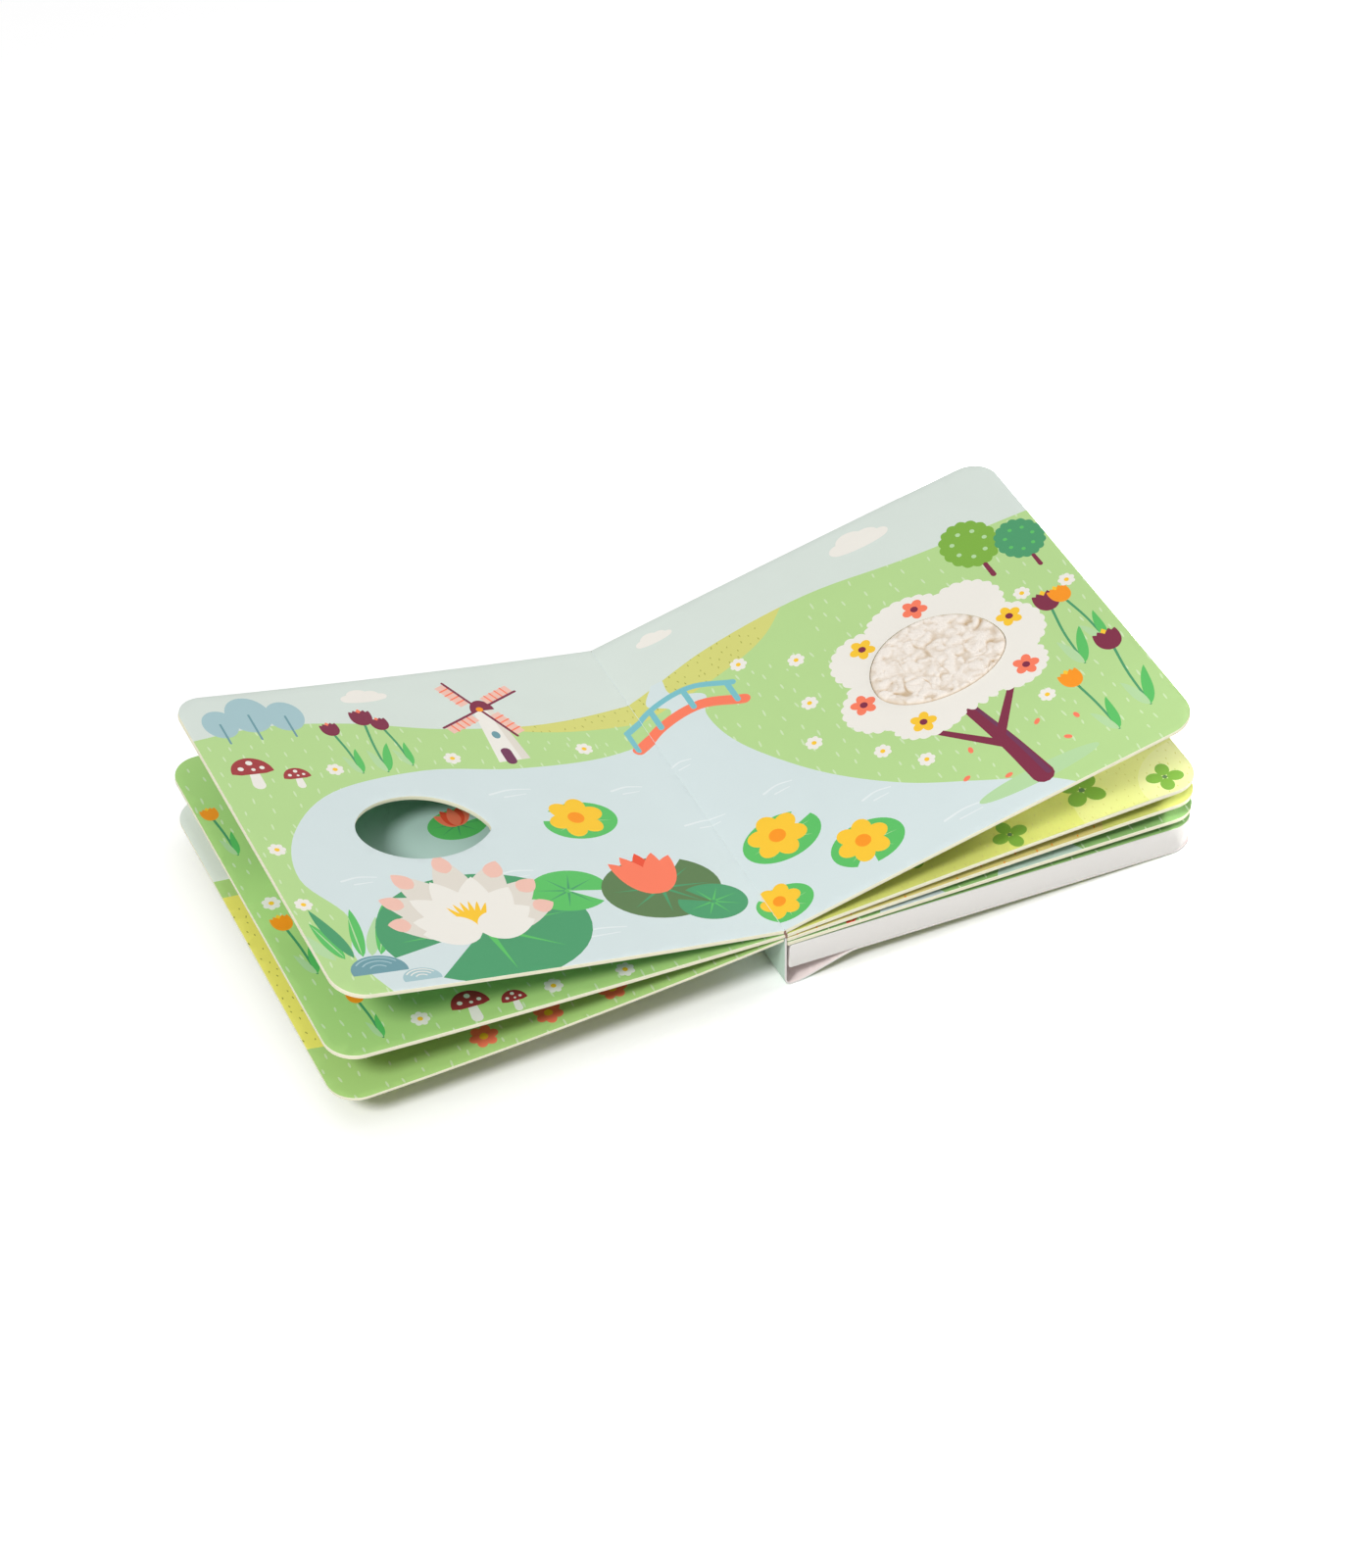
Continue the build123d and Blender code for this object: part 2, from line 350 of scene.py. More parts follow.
class Sheet:
    """Fields and motifs printed on one side of a card, later ones over earlier ones."""

    WHOLE = ((-400, -50), (400, -50), (400, 250), (-400, 250))

    def __init__(self, ground):
        self.shapes = []
        self.paint(ground, self.WHOLE)

    def paint(self, ink_name, outline):
        """A shape in one ink, turned to run anticlockwise."""
        p = np.array(outline, float)
        x, y = p[:, 0], p[:, 1]
        if np.sum(x * np.roll(y, -1) - np.roll(x, -1) * y) < 0:
            p = p[::-1]
        self.shapes.append((ink_name, p))

    def field(self, ink_name, *lines, corners=()):
        """A field round smooth lines, and then maybe straight to some corners."""
        self.paint(ink_name, [p for line in lines for p in smooth_line(line)] + list(corners))

    def flecks(self, ink_name, box, pitch, reach, width, seed, lean=8.0):
        """Short strokes in loose rows over a box."""
        rng = random.Random(seed)
        x0, y0, x1, y1 = box
        for row, y in enumerate(np.arange(y0, y1, pitch[1])):
            for x in np.arange(x0 + (row % 2) * pitch[0] / 2, x1, pitch[0]):
                at = (x + rng.uniform(-0.3, 0.3) * pitch[0], y + rng.uniform(-0.3, 0.3) * pitch[1])
                long = reach * rng.uniform(0.7, 1.2)
                self.paint(ink_name, oval(*at, width / 2, long / 2, rng.uniform(-lean, lean), 8))

    def blossom(self, x, y, radius, petals, petal, heart, turn=0.0):
        """Round petals about a heart."""
        for i in range(petals):
            a = turn + 360 * i / petals
            cx, cy = turned((0.58 * radius, 0), a)
            self.paint(petal, oval(x + cx, y + cy, 0.46 * radius, 0.38 * radius, a, 20))
        self.paint(heart, oval(x, y, 0.3 * radius, steps=18))

    def pad(self, x, y, radius, ink_name, turn, vein):
        """A floating leaf with a notch, and its ribs in another green."""

        def place(p):
            """Points turned, then flattened as the leaf is seen."""
            return turned(p, turn) * (1, 0.72) + (x, y)

        a = np.radians(np.linspace(16, 344, 40))
        self.paint(ink_name, place(np.vstack([(0, 0), np.c_[np.cos(a), np.sin(a)]]) * radius))
        for d in range(60, 331, 45):
            far = turned((0.82 * radius, 0), d)
            side = turned((0, 0.035 * radius), d)
            self.paint(vein, place([0.12 * far + side, far, 0.12 * far - side]))

    def lily(self, x, y, size, petal, back, tip, heart):
        """An open water flower seen from the side."""
        for d, long in ((168, 0.9), (12, 0.9), (146, 1.0), (34, 1.0), (122, 1.06), (58, 1.06), (90, 1.1)):
            self.paint(back, blade(x, y, long * size, 0.44 * size, d))
            top = turned((0.74 * long * size, 0), d)
            self.paint(tip, blade(x + top[0], y + top[1], 0.26 * long * size, 0.2 * size, d))
        for d, long in ((160, 0.66), (20, 0.66), (134, 0.76), (46, 0.76), (106, 0.8), (74, 0.8)):
            self.paint(petal, blade(x, y - 0.05 * size, long * size, 0.4 * size, d))
        for d in range(60, 121, 12):
            self.paint(heart, blade(x, y - 0.04 * size, 0.42 * size, 0.07 * size, d))
        for d, long in ((172, 0.6), (8, 0.6), (150, 0.5), (30, 0.5)):
            self.paint(petal, blade(x, y - 0.1 * size, long * size, 0.34 * size, d))

    def tulip(self, x, y, tall, lean, petal, inside):
        """A leaning stem with two leaves and a cup of petals."""
        tip = np.array((x, y)) + turned((0, tall), lean)
        self.paint("deep_green", band([(x, y), (x + 0.3 * (tip[0] - x), y + 0.55 * tall), tip], 0.9, 1.1))
        self.paint("leaf", blade(x, y, 0.62 * tall, 0.13 * tall, 68 + lean, 2))
        self.paint("pale_leaf", blade(x, y, 0.5 * tall, 0.12 * tall, 116 + lean, -2))
        cup = 0.34 * tall
        for d, ink_name in ((24, petal), (-24, petal), (0, inside), (12, petal), (-12, petal)):
            self.paint(ink_name, blade(*tip, cup * (1.06 if d == 0 else 1), cup * 0.5, 90 + lean + d))

    def toadstool(self, x, y, wide):
        """A pale stalk under a dotted cap."""
        stalk = [(x - 0.02 * wide, y), (x + 0.02 * wide, y + 0.5 * wide)]
        self.paint("cream", band(stalk, 0.3 * wide, 0.22 * wide))
        a = np.radians(np.linspace(0, 180, 24))
        dome = np.c_[0.5 * wide * np.cos(a), 0.52 * wide * np.sin(a)]
        brim = [(-0.3 * wide, -0.06 * wide), (0.3 * wide, -0.06 * wide)]
        self.paint("brick", np.vstack([dome, brim]) + (x, y + 0.45 * wide))
        for dx, dy, r in ((-0.24, 0.16, 0.07), (0.02, 0.34, 0.08), (0.26, 0.14, 0.06), (0.04, 0.1, 0.05)):
            self.paint("cream", oval(x + dx * wide, y + (0.45 + dy) * wide, r * wide, steps=14))

    def cloud(self, x, y, size):
        """Four puffs on a flat base."""
        for dx, dy, r in ((-0.55, 0, 0.3), (-0.15, 0.16, 0.42), (0.3, 0.08, 0.36), (0.68, -0.03, 0.22)):
            self.paint("cream", oval(x + dx * size, y + dy * size, r * size, 0.72 * r * size, steps=24))
        self.paint("cream", oval(x + 0.05 * size, y - 0.12 * size, 0.8 * size, 0.16 * size))

    def windmill(self, x, y, tall):
        """A tapered tower with a dark cap and four slatted sails."""
        hub = np.array((x - 0.03 * tall, y + tall))

        def sail(turn, along, aside):
            """A place on the sail at a turn, as shares of the tower's height."""
            return hub + turned((along * tall, aside * tall), turn)

        for ink_name, foot, top in (("shade", 0.2, 0.12), ("cream", 0.09, 0.05)):
            tower = np.array([(-0.2, 0), (foot, 0), (top, 1), (-0.12, 1)])
            self.paint(ink_name, tower * tall + (x, y))
        self.paint("plum", band([(x - 0.04 * tall, y), (x - 0.04 * tall, y + 0.18 * tall)], 0.13 * tall))
        self.paint("slate", oval(x - 0.03 * tall, y + 0.5 * tall, 0.05 * tall, 0.07 * tall))
        a = np.radians(np.linspace(0, 180, 20))
        self.paint("burgundy", np.c_[0.15 * tall * np.cos(a), 0.2 * tall * np.sin(a)] + (x, y + 0.97 * tall))
        for turn in (24, 114, 204, 294):
            cloth = ((0.16, 0.02), (0.6, 0.02), (0.6, 0.15), (0.16, 0.15))
            self.paint("blush", [sail(turn, *p) for p in cloth])
            for along in (0.24, 0.33, 0.42, 0.51):
                self.paint("coral", band([sail(turn, along, 0.02), sail(turn, along, 0.15)], 0.022 * tall))
            self.paint("burgundy", band([hub, sail(turn, 0.62, 0.0)], 0.035 * tall))
        self.paint("orange", oval(*hub, 0.045 * tall, steps=16))

    def bridge(self, deck, high):
        """A curved deck with posts and a handrail."""
        self.paint("coral", band(deck, 5.0))
        line = smooth_line(deck)
        for share in (0.04, 0.35, 0.65, 0.96):
            x, y = line[int(share * (len(line) - 1))]
            self.paint("rail", band([(x, y), (x, y + high)], 2.4))
        self.paint("rail", band([(x, y + high) for x, y in deck], 2.8))

    def bush(self, x, y, size, ink_name, dot):
        """A round tree on a short trunk, with dots among its leaves."""
        self.paint("burgundy", band([(x, y), (x, y + 0.7 * size)], 0.12 * size, 0.09 * size))
        self.paint(ink_name, tufted(x, y + 1.1 * size, 0.62 * size, 0.7 * size, 16, 0.08))
        for i in range(7):
            dx, dy = turned((0.36 * size, 0), 51 * i)
            self.paint(dot, oval(x + dx, y + 1.1 * size + 1.1 * dy, 0.055 * size, steps=12))

    def crown(self, lobes):
        """A blossoming tree top of several tufted rounds."""
        for x, y, rx, ry, tufts in lobes:
            self.paint("cream", tufted(x, y, rx, ry, tufts, 0.075))

    def daisies(self, places, size):
        """Small pale flowers, each turned its own way."""
        for x, y in places:
            self.blossom(x, y, size, 7, "cream", "yellow", 3 * x)

    def sprigs(self, places):
        """Three leaves in a fan at each place, headed by a turn."""
        for x, y, turn in places:
            for d in (0, 70, -70):
                self.paint("clover", blade(x, y, 26, 10, turn + d, 2))

    def grass_clump(self, x, y, tall, seed):
        """Blades in a fan, some with a light rib."""
        rng = random.Random(seed)
        for i, ink_name in enumerate(("pale_leaf", "leaf", "deep_green", "leaf", "pale_leaf", "leaf")):
            d = 122 - 12.5 * i + rng.uniform(-4, 4)
            reach = tall * rng.uniform(0.72, 1.05)
            base = x + 0.13 * tall * (i - 2.5) * 0.9
            self.paint(ink_name, blade(base, y, reach, 0.17 * tall, d, rng.uniform(-3, 3)))
            if ink_name == "leaf":
                self.paint("pale_leaf", blade(base, y + 1, 0.9 * reach, 0.02 * tall, d))

    def stone(self, x, y, wide, ink_name, line):
        """A low round stone with lines over it."""
        a = np.radians(np.linspace(-12, 192, 22))
        self.paint(ink_name, np.c_[0.5 * wide * np.cos(a), 0.36 * wide * np.sin(a)] + (x, y))
        arc = np.radians(np.linspace(35, 145, 9))
        for k in (0.34, 0.62, 0.86):
            ring = np.c_[0.5 * k * wide * np.cos(arc), 0.36 * k * wide * np.sin(arc)]
            self.paint(line, band(ring + (x, y), 0.5))


def open_spread():
    """Print across the two open pages: hills and a stream at the head, a lily pond at the tail."""
    s = Sheet("meadow")
    s.flecks("grass_fleck", (-178, 2, 180, 176), (9.0, 8.0), 3.4, 0.8, 3)
    hills(s)
    water(s)
    left_page(s)
    right_page(s)
    return s


def hills(s):
    """Yellow hill behind the stream, sky, clouds and distant trees."""
    ridge = [
        (-190, 150), (-150, 156), (-115, 152), (-80, 142), (-40, 137),
        (0, 141), (40, 150), (85, 152), (130, 145), (190, 139),
    ]
    crest = [(-74, 146), (-40, 141), (0, 146), (44, 156), (78, 160)]
    slope = [(78, 156), (60, 141), (34, 133), (0, 129), (-36, 131), (-74, 142)]
    s.field("field", crest, slope)
    s.flecks("field_fleck", (-56, 133, 60, 152), (4.6, 4.0), 1.3, 0.45, 5, 25)
    s.field("meadow", slope[::-1], corners=[(78, 120), (-74, 120)])
    s.flecks("grass_fleck", (-72, 121, 74, 131), (9.0, 6.0), 3.2, 0.8, 7)
    s.field("sky", ridge, corners=[(190, 200), (-190, 200)])
    for x, y, r in ((-166, 160, 7), (-153, 164, 9), (-139, 161, 7.5)):
        s.paint("mist", oval(x, y, r, 1.2 * r))
        s.paint("slate", band([(x, y - 1.7 * r), (x, y)], 0.9))
    s.cloud(-104, 167, 11)
    s.cloud(116, 166, 15)
    s.cloud(24, 168, 9)


def water(s):
    """Stream from the hills into the pond, with ripples."""
    left_bank = [
        (12, 145), (6, 136), (13, 128), (2, 119), (-26, 112), (-62, 113), (-98, 119),
        (-138, 113), (-162, 92), (-170, 66), (-160, 42), (-166, 18), (-150, -20),
    ]
    right_bank = [
        (140, -20), (120, 6), (96, 22), (72, 38), (50, 60), (34, 84),
        (26, 102), (24, 118), (28, 128), (17, 136), (17, 145),
    ]
    s.field("pond", left_bank, right_bank)
    for x, y, w in (
        (-70, 100, 17), (-24, 92, 13), (-148, 62, 14), (-2, 66, 18), (-70, 16, 22),
        (84, 12, 18), (-88, 54, 15), (30, 66, 12), (4, 100, 9), (60, 40, 12),
    ):
        s.paint("ripple", band([(x - w / 2, y), (x, y + 1.2), (x + w / 2, y)], 1.0, 0.5))
        s.paint("ripple", band([(x - w / 5, y - 2.6), (x + w / 3, y - 2.4)], 0.7, 0.4))


def left_page(s):
    """Toadstools, windmill and tulips on the bank, lilies on the water."""
    s.toadstool(-164, 122, 17)
    s.toadstool(-148, 119, 11)
    s.windmill(-60, 118, 33)
    for x, y, tall, lean in ((-122, 122, 24, 5), (-112, 121, 29, -4), (-101, 123, 23, 6)):
        s.tulip(x, y, tall, lean, "burgundy", "coral")
    s.grass_clump(-165, 20, 30, 4)
    s.stone(-160, 12, 22, "slate", "mist")
    s.stone(-146, 5, 15, "mist", "cream")
    s.pad(-112, 27, 42, "deep_green", 215, "leaf")
    s.pad(-72, 40, 16, "leaf", -30, "deep_green")
    s.lily(-114, 28, 38, "cream", "shade", "blush", "yellow")
    s.pad(-36, 34, 24, "moss", 70, "deep_green")
    s.pad(-20, 22, 14, "deep_green", 140, "leaf")
    for d, ink_name in ((58, "coral"), (122, "coral"), (90, "red"), (74, "coral"), (106, "coral")):
        s.paint(ink_name, blade(-38, 31, 24, 10.0, d))
    s.pad(-50, 78, 15, "leaf", 150, "pale_leaf")
    s.blossom(-51, 80, 11, 6, "yellow", "orange", 10)
    s.daisies(((-172, 84), (-174, 52), (-132, 126), (-84, 124), (-30, 119)), 3.4)


def right_page(s):
    """Bridge, trees and flowers of the right page."""
    s.bridge([(-9, 113), (6, 122), (24, 124), (40, 116)], 11)
    for x, y, r, turn in ((20, 42, 16, 40), (46, 20, 15, 250), (6, 12, 12, 120)):
        s.pad(x, y, r, "leaf", turn, "pale_leaf")
        s.blossom(x - 1, y + 2, 0.7 * r, 6, "yellow", "orange", turn)
    s.bush(152, 116, 19, "clover", "pale_leaf")
    s.bush(170, 110, 16, "deep_green", "leaf")
    s.paint("pale_leaf", oval(116, 12, 26, 4))
    s.paint("burgundy", band([(117, 11), (114, 34), (109, 62)], 9.0, 5.0))
    s.paint("plum", band([(119.4, 11), (116.4, 34), (111.6, 58)], 2.4, 1.2))
    s.paint("burgundy", band([(113, 38), (130, 60)], 4.2, 2.6))
    s.paint("burgundy", band([(113.5, 32), (92, 56)], 3.8, 2.4))
    s.crown((
        (111.6, 87, 37, 30, 46), (82, 80, 15, 14, 20), (90, 104, 16, 15, 20), (112, 114, 18, 12, 22),
        (134, 107, 16, 14, 20), (144, 86, 13, 14, 18), (134, 68, 15, 12, 20), (96, 64, 16, 11, 20),
    ))
    for x, y, ink_name in (
        (77, 84, "coral"), (90, 111, "yellow"), (117, 118, "coral"),
        (146, 92, "yellow"), (139, 65, "coral"), (92, 62, "yellow"),
    ):
        s.blossom(x, y, 5.2, 5, ink_name, "burgundy", y)
    for x, y, turn in (
        (92, 26, 20), (100, 38, 80), (134, 22, 140), (128, 36, 40), (142, 30, 100), (106, 18, 10),
    ):
        s.paint("coral", oval(x, y, 1.7, 1.0, turn, 14))
    for x, y, tall, lean, petal in (
        (158, 52, 33, -6, "burgundy"), (171, 58, 28, 5, "orange"),
        (152, 14, 29, 4, "orange"), (168, 18, 34, -5, "burgundy"),
    ):
        s.tulip(x, y, tall, lean, petal, "yellow")
    meadow_daisies = ((60, 98), (66, 122), (52, 78), (72, 58), (84, 44), (156, 100))
    s.daisies(meadow_daisies + ((46, 134), (138, 46), (174, 96)), 3.4)


def lower_left_print():
    """Lower left page: a pool under the peep-hole, greener than the pond, partly painted green bounce light
    from the leaf above, and flowers and toadstools at its edges.
    """
    s = Sheet("lawn")
    s.flecks("grass_fleck", (-178, 2, -2, 176), (9.0, 8.0), 3.6, 0.85, 11)
    pool = [
        (-154, 112), (-150, 84), (-128, 66), (-92, 60), (-58, 72),
        (-44, 100), (-64, 136), (-104, 148), (-140, 136),
    ]
    # The pool's green is partly painted bounce light from the leaf above the hole
    s.paint("pool", smooth_loop(pool))
    s.pad(-90, 104, 12, "leaf", 20, "deep_green")
    for d, ink_name in ((50, "coral"), (130, "coral"), (70, "red"), (110, "red"), (90, "coral")):
        s.paint(ink_name, blade(-90, 103, 11, 5, d))
    for x, y, tall in ((-174, 118, 22), (-170, 46, 26), (-160, 6, 20)):
        s.tulip(x, y, tall, 4, "orange", "yellow")
    s.toadstool(-124, 3, 15)
    s.toadstool(-108, 2, 10)
    s.daisies(((-172, 88), (-144, 10), (-92, 8), (-64, 6)), 3.6)
    return s


def cover_lining_print():
    """Inside of the front cover: a lawn, a yellow field and sky; the field and sky are lighter than the
    spread's, painted light against the shade under the leaves.
    """
    s = Sheet("lawn")
    s.flecks("grass_fleck", (-178, 2, -2, 130), (9.0, 8.0), 3.6, 0.85, 12)
    near = [(-190, 34), (-140, 26), (-80, 36), (10, 28)]
    far = [(10, 118), (-70, 126), (-130, 116), (-190, 122)]
    # Field and sky in lighter inks: painted light against the shade under the leaves
    s.field("dandelion_painted_light", near, far)
    s.flecks("field_fleck", (-178, 36, -2, 114), (4.6, 4.0), 1.4, 0.5, 13, 25)
    s.field("haze_painted_light", [(-190, 132), (-120, 124), (-60, 134), (10, 126)], corners=[(10, 200), (-190, 200)])
    for x in (-118, -92, -66):
        s.blossom(x, 9, 5.5, 6, "coral", "yellow", x)
    return s


def cover_print():
    """Outside of the front cover: mint beside the spine, then an olive ground with light leaves."""
    s = Sheet("olive")
    s.paint("mint", [(5, -5), (5, 190), (-9, 190), (-9, -5)])
    s.sprigs(((-40, 40, 20), (-70, 120, 150), (-104, 62, 80), (-136, 140, 210), (-150, 36, 300)))
    for x, y in ((-62, 78), (-112, 108), (-36, 150), (-96, 20), (-158, 92)):
        s.blossom(x, y, 9, 6, "cream", "yellow", x)
    return s


def wrap_print():
    """Outside of the wrap: mint over the spine and a strip of the back cover, then the olive ground."""
    s = Sheet("mint")
    s.paint("olive", [(36, -5), (215, -5), (215, 190), (36, 190)])
    s.sprigs(((66, 120, 40), (92, 40, 170), (130, 136, 260), (150, 60, 100), (184, 110, 20)))
    return s


def second_right_print():
    """Second right page: a lime ground with painted light at its far corner, and clover along the tail."""
    s = Sheet("lime")
    # Two paler ovals paint light on the far corner, over the shade of the open leaf
    for reach, ink_name in ((56, "lime_painted_light"), (28, "lime_painted_brightest")):
        s.paint(ink_name, oval(182, 4, reach, 0.8 * reach))
    s.flecks("field", (2, 2, 178, 176), (4.6, 4.0), 1.2, 0.45, 14, 25)
    for x, y, r in ((166, 9, 7), (134, 17, 9), (98, 8, 7), (62, 16, 8)):
        for d in range(0, 360, 90):
            cx, cy = turned((0.6 * r, 0), d + x)
            s.paint("clover", oval(x + cx, y + cy, 0.48 * r, 0.4 * r, d + x, 18))
        s.paint("moss", oval(x, y, 0.14 * r, steps=12))
    return s


def third_right_print():
    """Third right page: amber with orange specks, lime at its far corner."""
    s = Sheet("amber")
    s.flecks("orange", (2, 2, 178, 176), (8, 6), 1.4, 0.6, 15, 25)
    s.field("lime", [(128, -20), (140, 10), (170, 24), (190, 30)], corners=[(190, -40)])
    return s


def last_print():
    """Last right page: grass with two pale pools and a small red flower at the tail."""
    s = Sheet("grass")
    s.flecks("grass_fleck", (2, 2, 178, 176), (9.0, 8.0), 3.4, 0.8, 16)
    s.paint("mint", smooth_loop([(84, -20), (96, 10), (116, 14), (130, -20)]))
    s.paint("pond", smooth_loop([(34, -20), (44, 8), (60, 9), (72, -20)]))
    s.blossom(27, 1.5, 2.6, 5, "red", "yellow")
    return s


def plain_print(ground, fleck, seed):
    """A plain ground with loose strokes."""
    s = Sheet(ground)
    s.flecks(fleck, (-178, 4, 178, 176), (12, 11), 3.2, 0.9, seed, 20)
    return s


# Card pieces


class CardPath:
    """Underside of a card across the gutter: distance, place and slope along it, its body to the left."""

    def __init__(self, side, points, slopes):
        self.side = side
        self.x, self.z = np.array(points, float).T
        self.slope = np.array(slopes, float)
        self.s = np.r_[0, np.cumsum(np.hypot(np.diff(self.x), np.diff(self.z)))]
        self.nose = None

    @classmethod
    def bent(cls, side, start, lift, curl, reach):
        """A card that leaves start at a slope of lift degrees and curls up by curl degrees to its end."""
        slope = np.radians(np.linspace(lift, lift + curl, BEND_STEPS + 1))
        step = reach / BEND_STEPS
        middle = (slope[1:] + slope[:-1]) / 2
        x = start[0] + side * np.r_[0, np.cumsum(step * np.cos(middle))]
        z = start[1] + np.r_[0, np.cumsum(step * np.sin(middle))]
        return cls(side, np.c_[x, z], slope)

    def rounded(self, s, height):
        """Heights drawn in towards the middle of the card beside its first edge, which has a nose radius."""
        radius, half = self.nose
        keep = half - radius + np.sqrt(np.maximum(radius**2 - np.clip(radius - s, 0, radius) ** 2, 0))
        return half + (height - half) * keep / half

    def place(self, u, v, height):
        """Points in metres from page millimetres: u across, v from the tail, height above the underside."""
        s = self.side * np.asarray(u, float)
        if self.nose:
            height = self.rounded(s, height)
        b = np.interp(s, self.s, self.slope)
        over = np.maximum(s - self.s[-1], 0) + np.minimum(s, 0)
        x = np.interp(s, self.s, self.x) + self.side * over * np.cos(b)
        z = np.interp(s, self.s, self.z) + over * np.sin(b)
        x = x - self.side * height * np.sin(b)
        return np.c_[x, np.asarray(v, float) - mm("page_height") / 2, z + height * np.cos(b)] * MM


def mm(name):
    """A size of the book in millimetres."""
    return getattr(settings().sizes, name) / MM


def settings():
    """All settings of the book."""
    return bpy.context.scene.tactile_book


def page_outline(near, far, height, radius):
    """A page from near to far across, with its two far corners rounded, anticlockwise."""
    side = 1 if far > near else -1
    a = np.radians(np.linspace(0, 90, 13))
    low = np.c_[far - side * radius * (1 - np.sin(a)), radius * (1 - np.cos(a))]
    high = np.c_[far - side * radius * (1 - np.cos(a)), height - radius * (1 - np.sin(a))]
    rim = np.vstack([(near, 0), low, high, (near, height)])
    return rim if side > 0 else rim[::-1]


def corner_normals(rim):
    """Outward normals of the two sides that meet at each corner of an anticlockwise outline, added up."""
    ahead = np.roll(rim, -1, axis=0) - rim
    ahead /= np.linalg.norm(ahead, axis=1)[:, None]
    out = np.c_[ahead[:, 1], -ahead[:, 0]]
    return out + np.roll(out, 1, axis=0)


def inset(rim, amount):
    """An anticlockwise outline moved inwards."""
    out = corner_normals(rim)
    return rim - out * (amount * 2 / np.sum(out**2, axis=1))[:, None]


def lattice(rim, pitch):
    """Even rows of points over the box of an outline."""
    low, high = rim.min(0) + pitch / 2, rim.max(0) - pitch / 2
    count = np.maximum(np.ceil((high - low) / pitch).astype(int), 1) + 1
    grid = np.meshgrid(np.linspace(low[0], high[0], count[0]), np.linspace(low[1], high[1], count[1]))
    return np.c_[grid[0].ravel(), grid[1].ravel()]


def with_points_every(rim, pitch):
    """An outline with points added, so that none of its sides is longer than the pitch."""
    runs = []
    for a, b in zip(rim, np.roll(rim, -1, axis=0)):
        parts = max(1, math.ceil(np.linalg.norm(b - a) / pitch))
        runs.append(a + (b - a) * np.linspace(0, 1, parts, endpoint=False)[:, None])
    return np.vstack(runs)


# Kind of result from the triangulation: only triangles inside outlines
INSIDE_ONLY = 1


def triangulate(outlines, inner, merge):
    """Places and triangles of outlines laid over one another, and the outlines that each triangle is in."""
    points, faces = [], []
    for outline in outlines:
        faces.append(list(range(len(points), len(points) + len(outline))))
        points += [Vector(p) for p in outline]
    points += [Vector(p) for p in inner]
    places, _, triangles, _, _, within = delaunay_2d_cdt(points, [], faces, INSIDE_ONLY, merge)
    return np.array([p[:] for p in places]), [tuple(t) for t in triangles], [set(w) for w in within]


def boundary_loops(triangles):
    """Closed runs of the edges that only one triangle has, with that triangle to the left."""
    edges = {(t[i], t[(i + 1) % 3]) for t in triangles for i in range(3)}
    follow = {a: b for a, b in edges if (b, a) not in edges}
    loops = []
    while follow:
        start = min(follow)
        loop = [start]
        nxt = follow.pop(start)
        while nxt != start:
            loop.append(nxt)
            nxt = follow.pop(nxt)
        loops.append(loop)
    return loops


# Inks down a cut edge from the top round to the underside; None carries the print over the rounding
CARD_EDGE = (None, "paper", "core", "paper", None)
WHITE_EDGE = ("board",) * 5
# Steps round the rim of a cut edge: how far out and how far down, as shares of the rounding
EDGE_STEPS = ((0.707, 0.293), (1, 1))
# Points nearer than this are one point, in millimetres
CARD_MERGE = 1e-4
PILE_MERGE = 1e-5


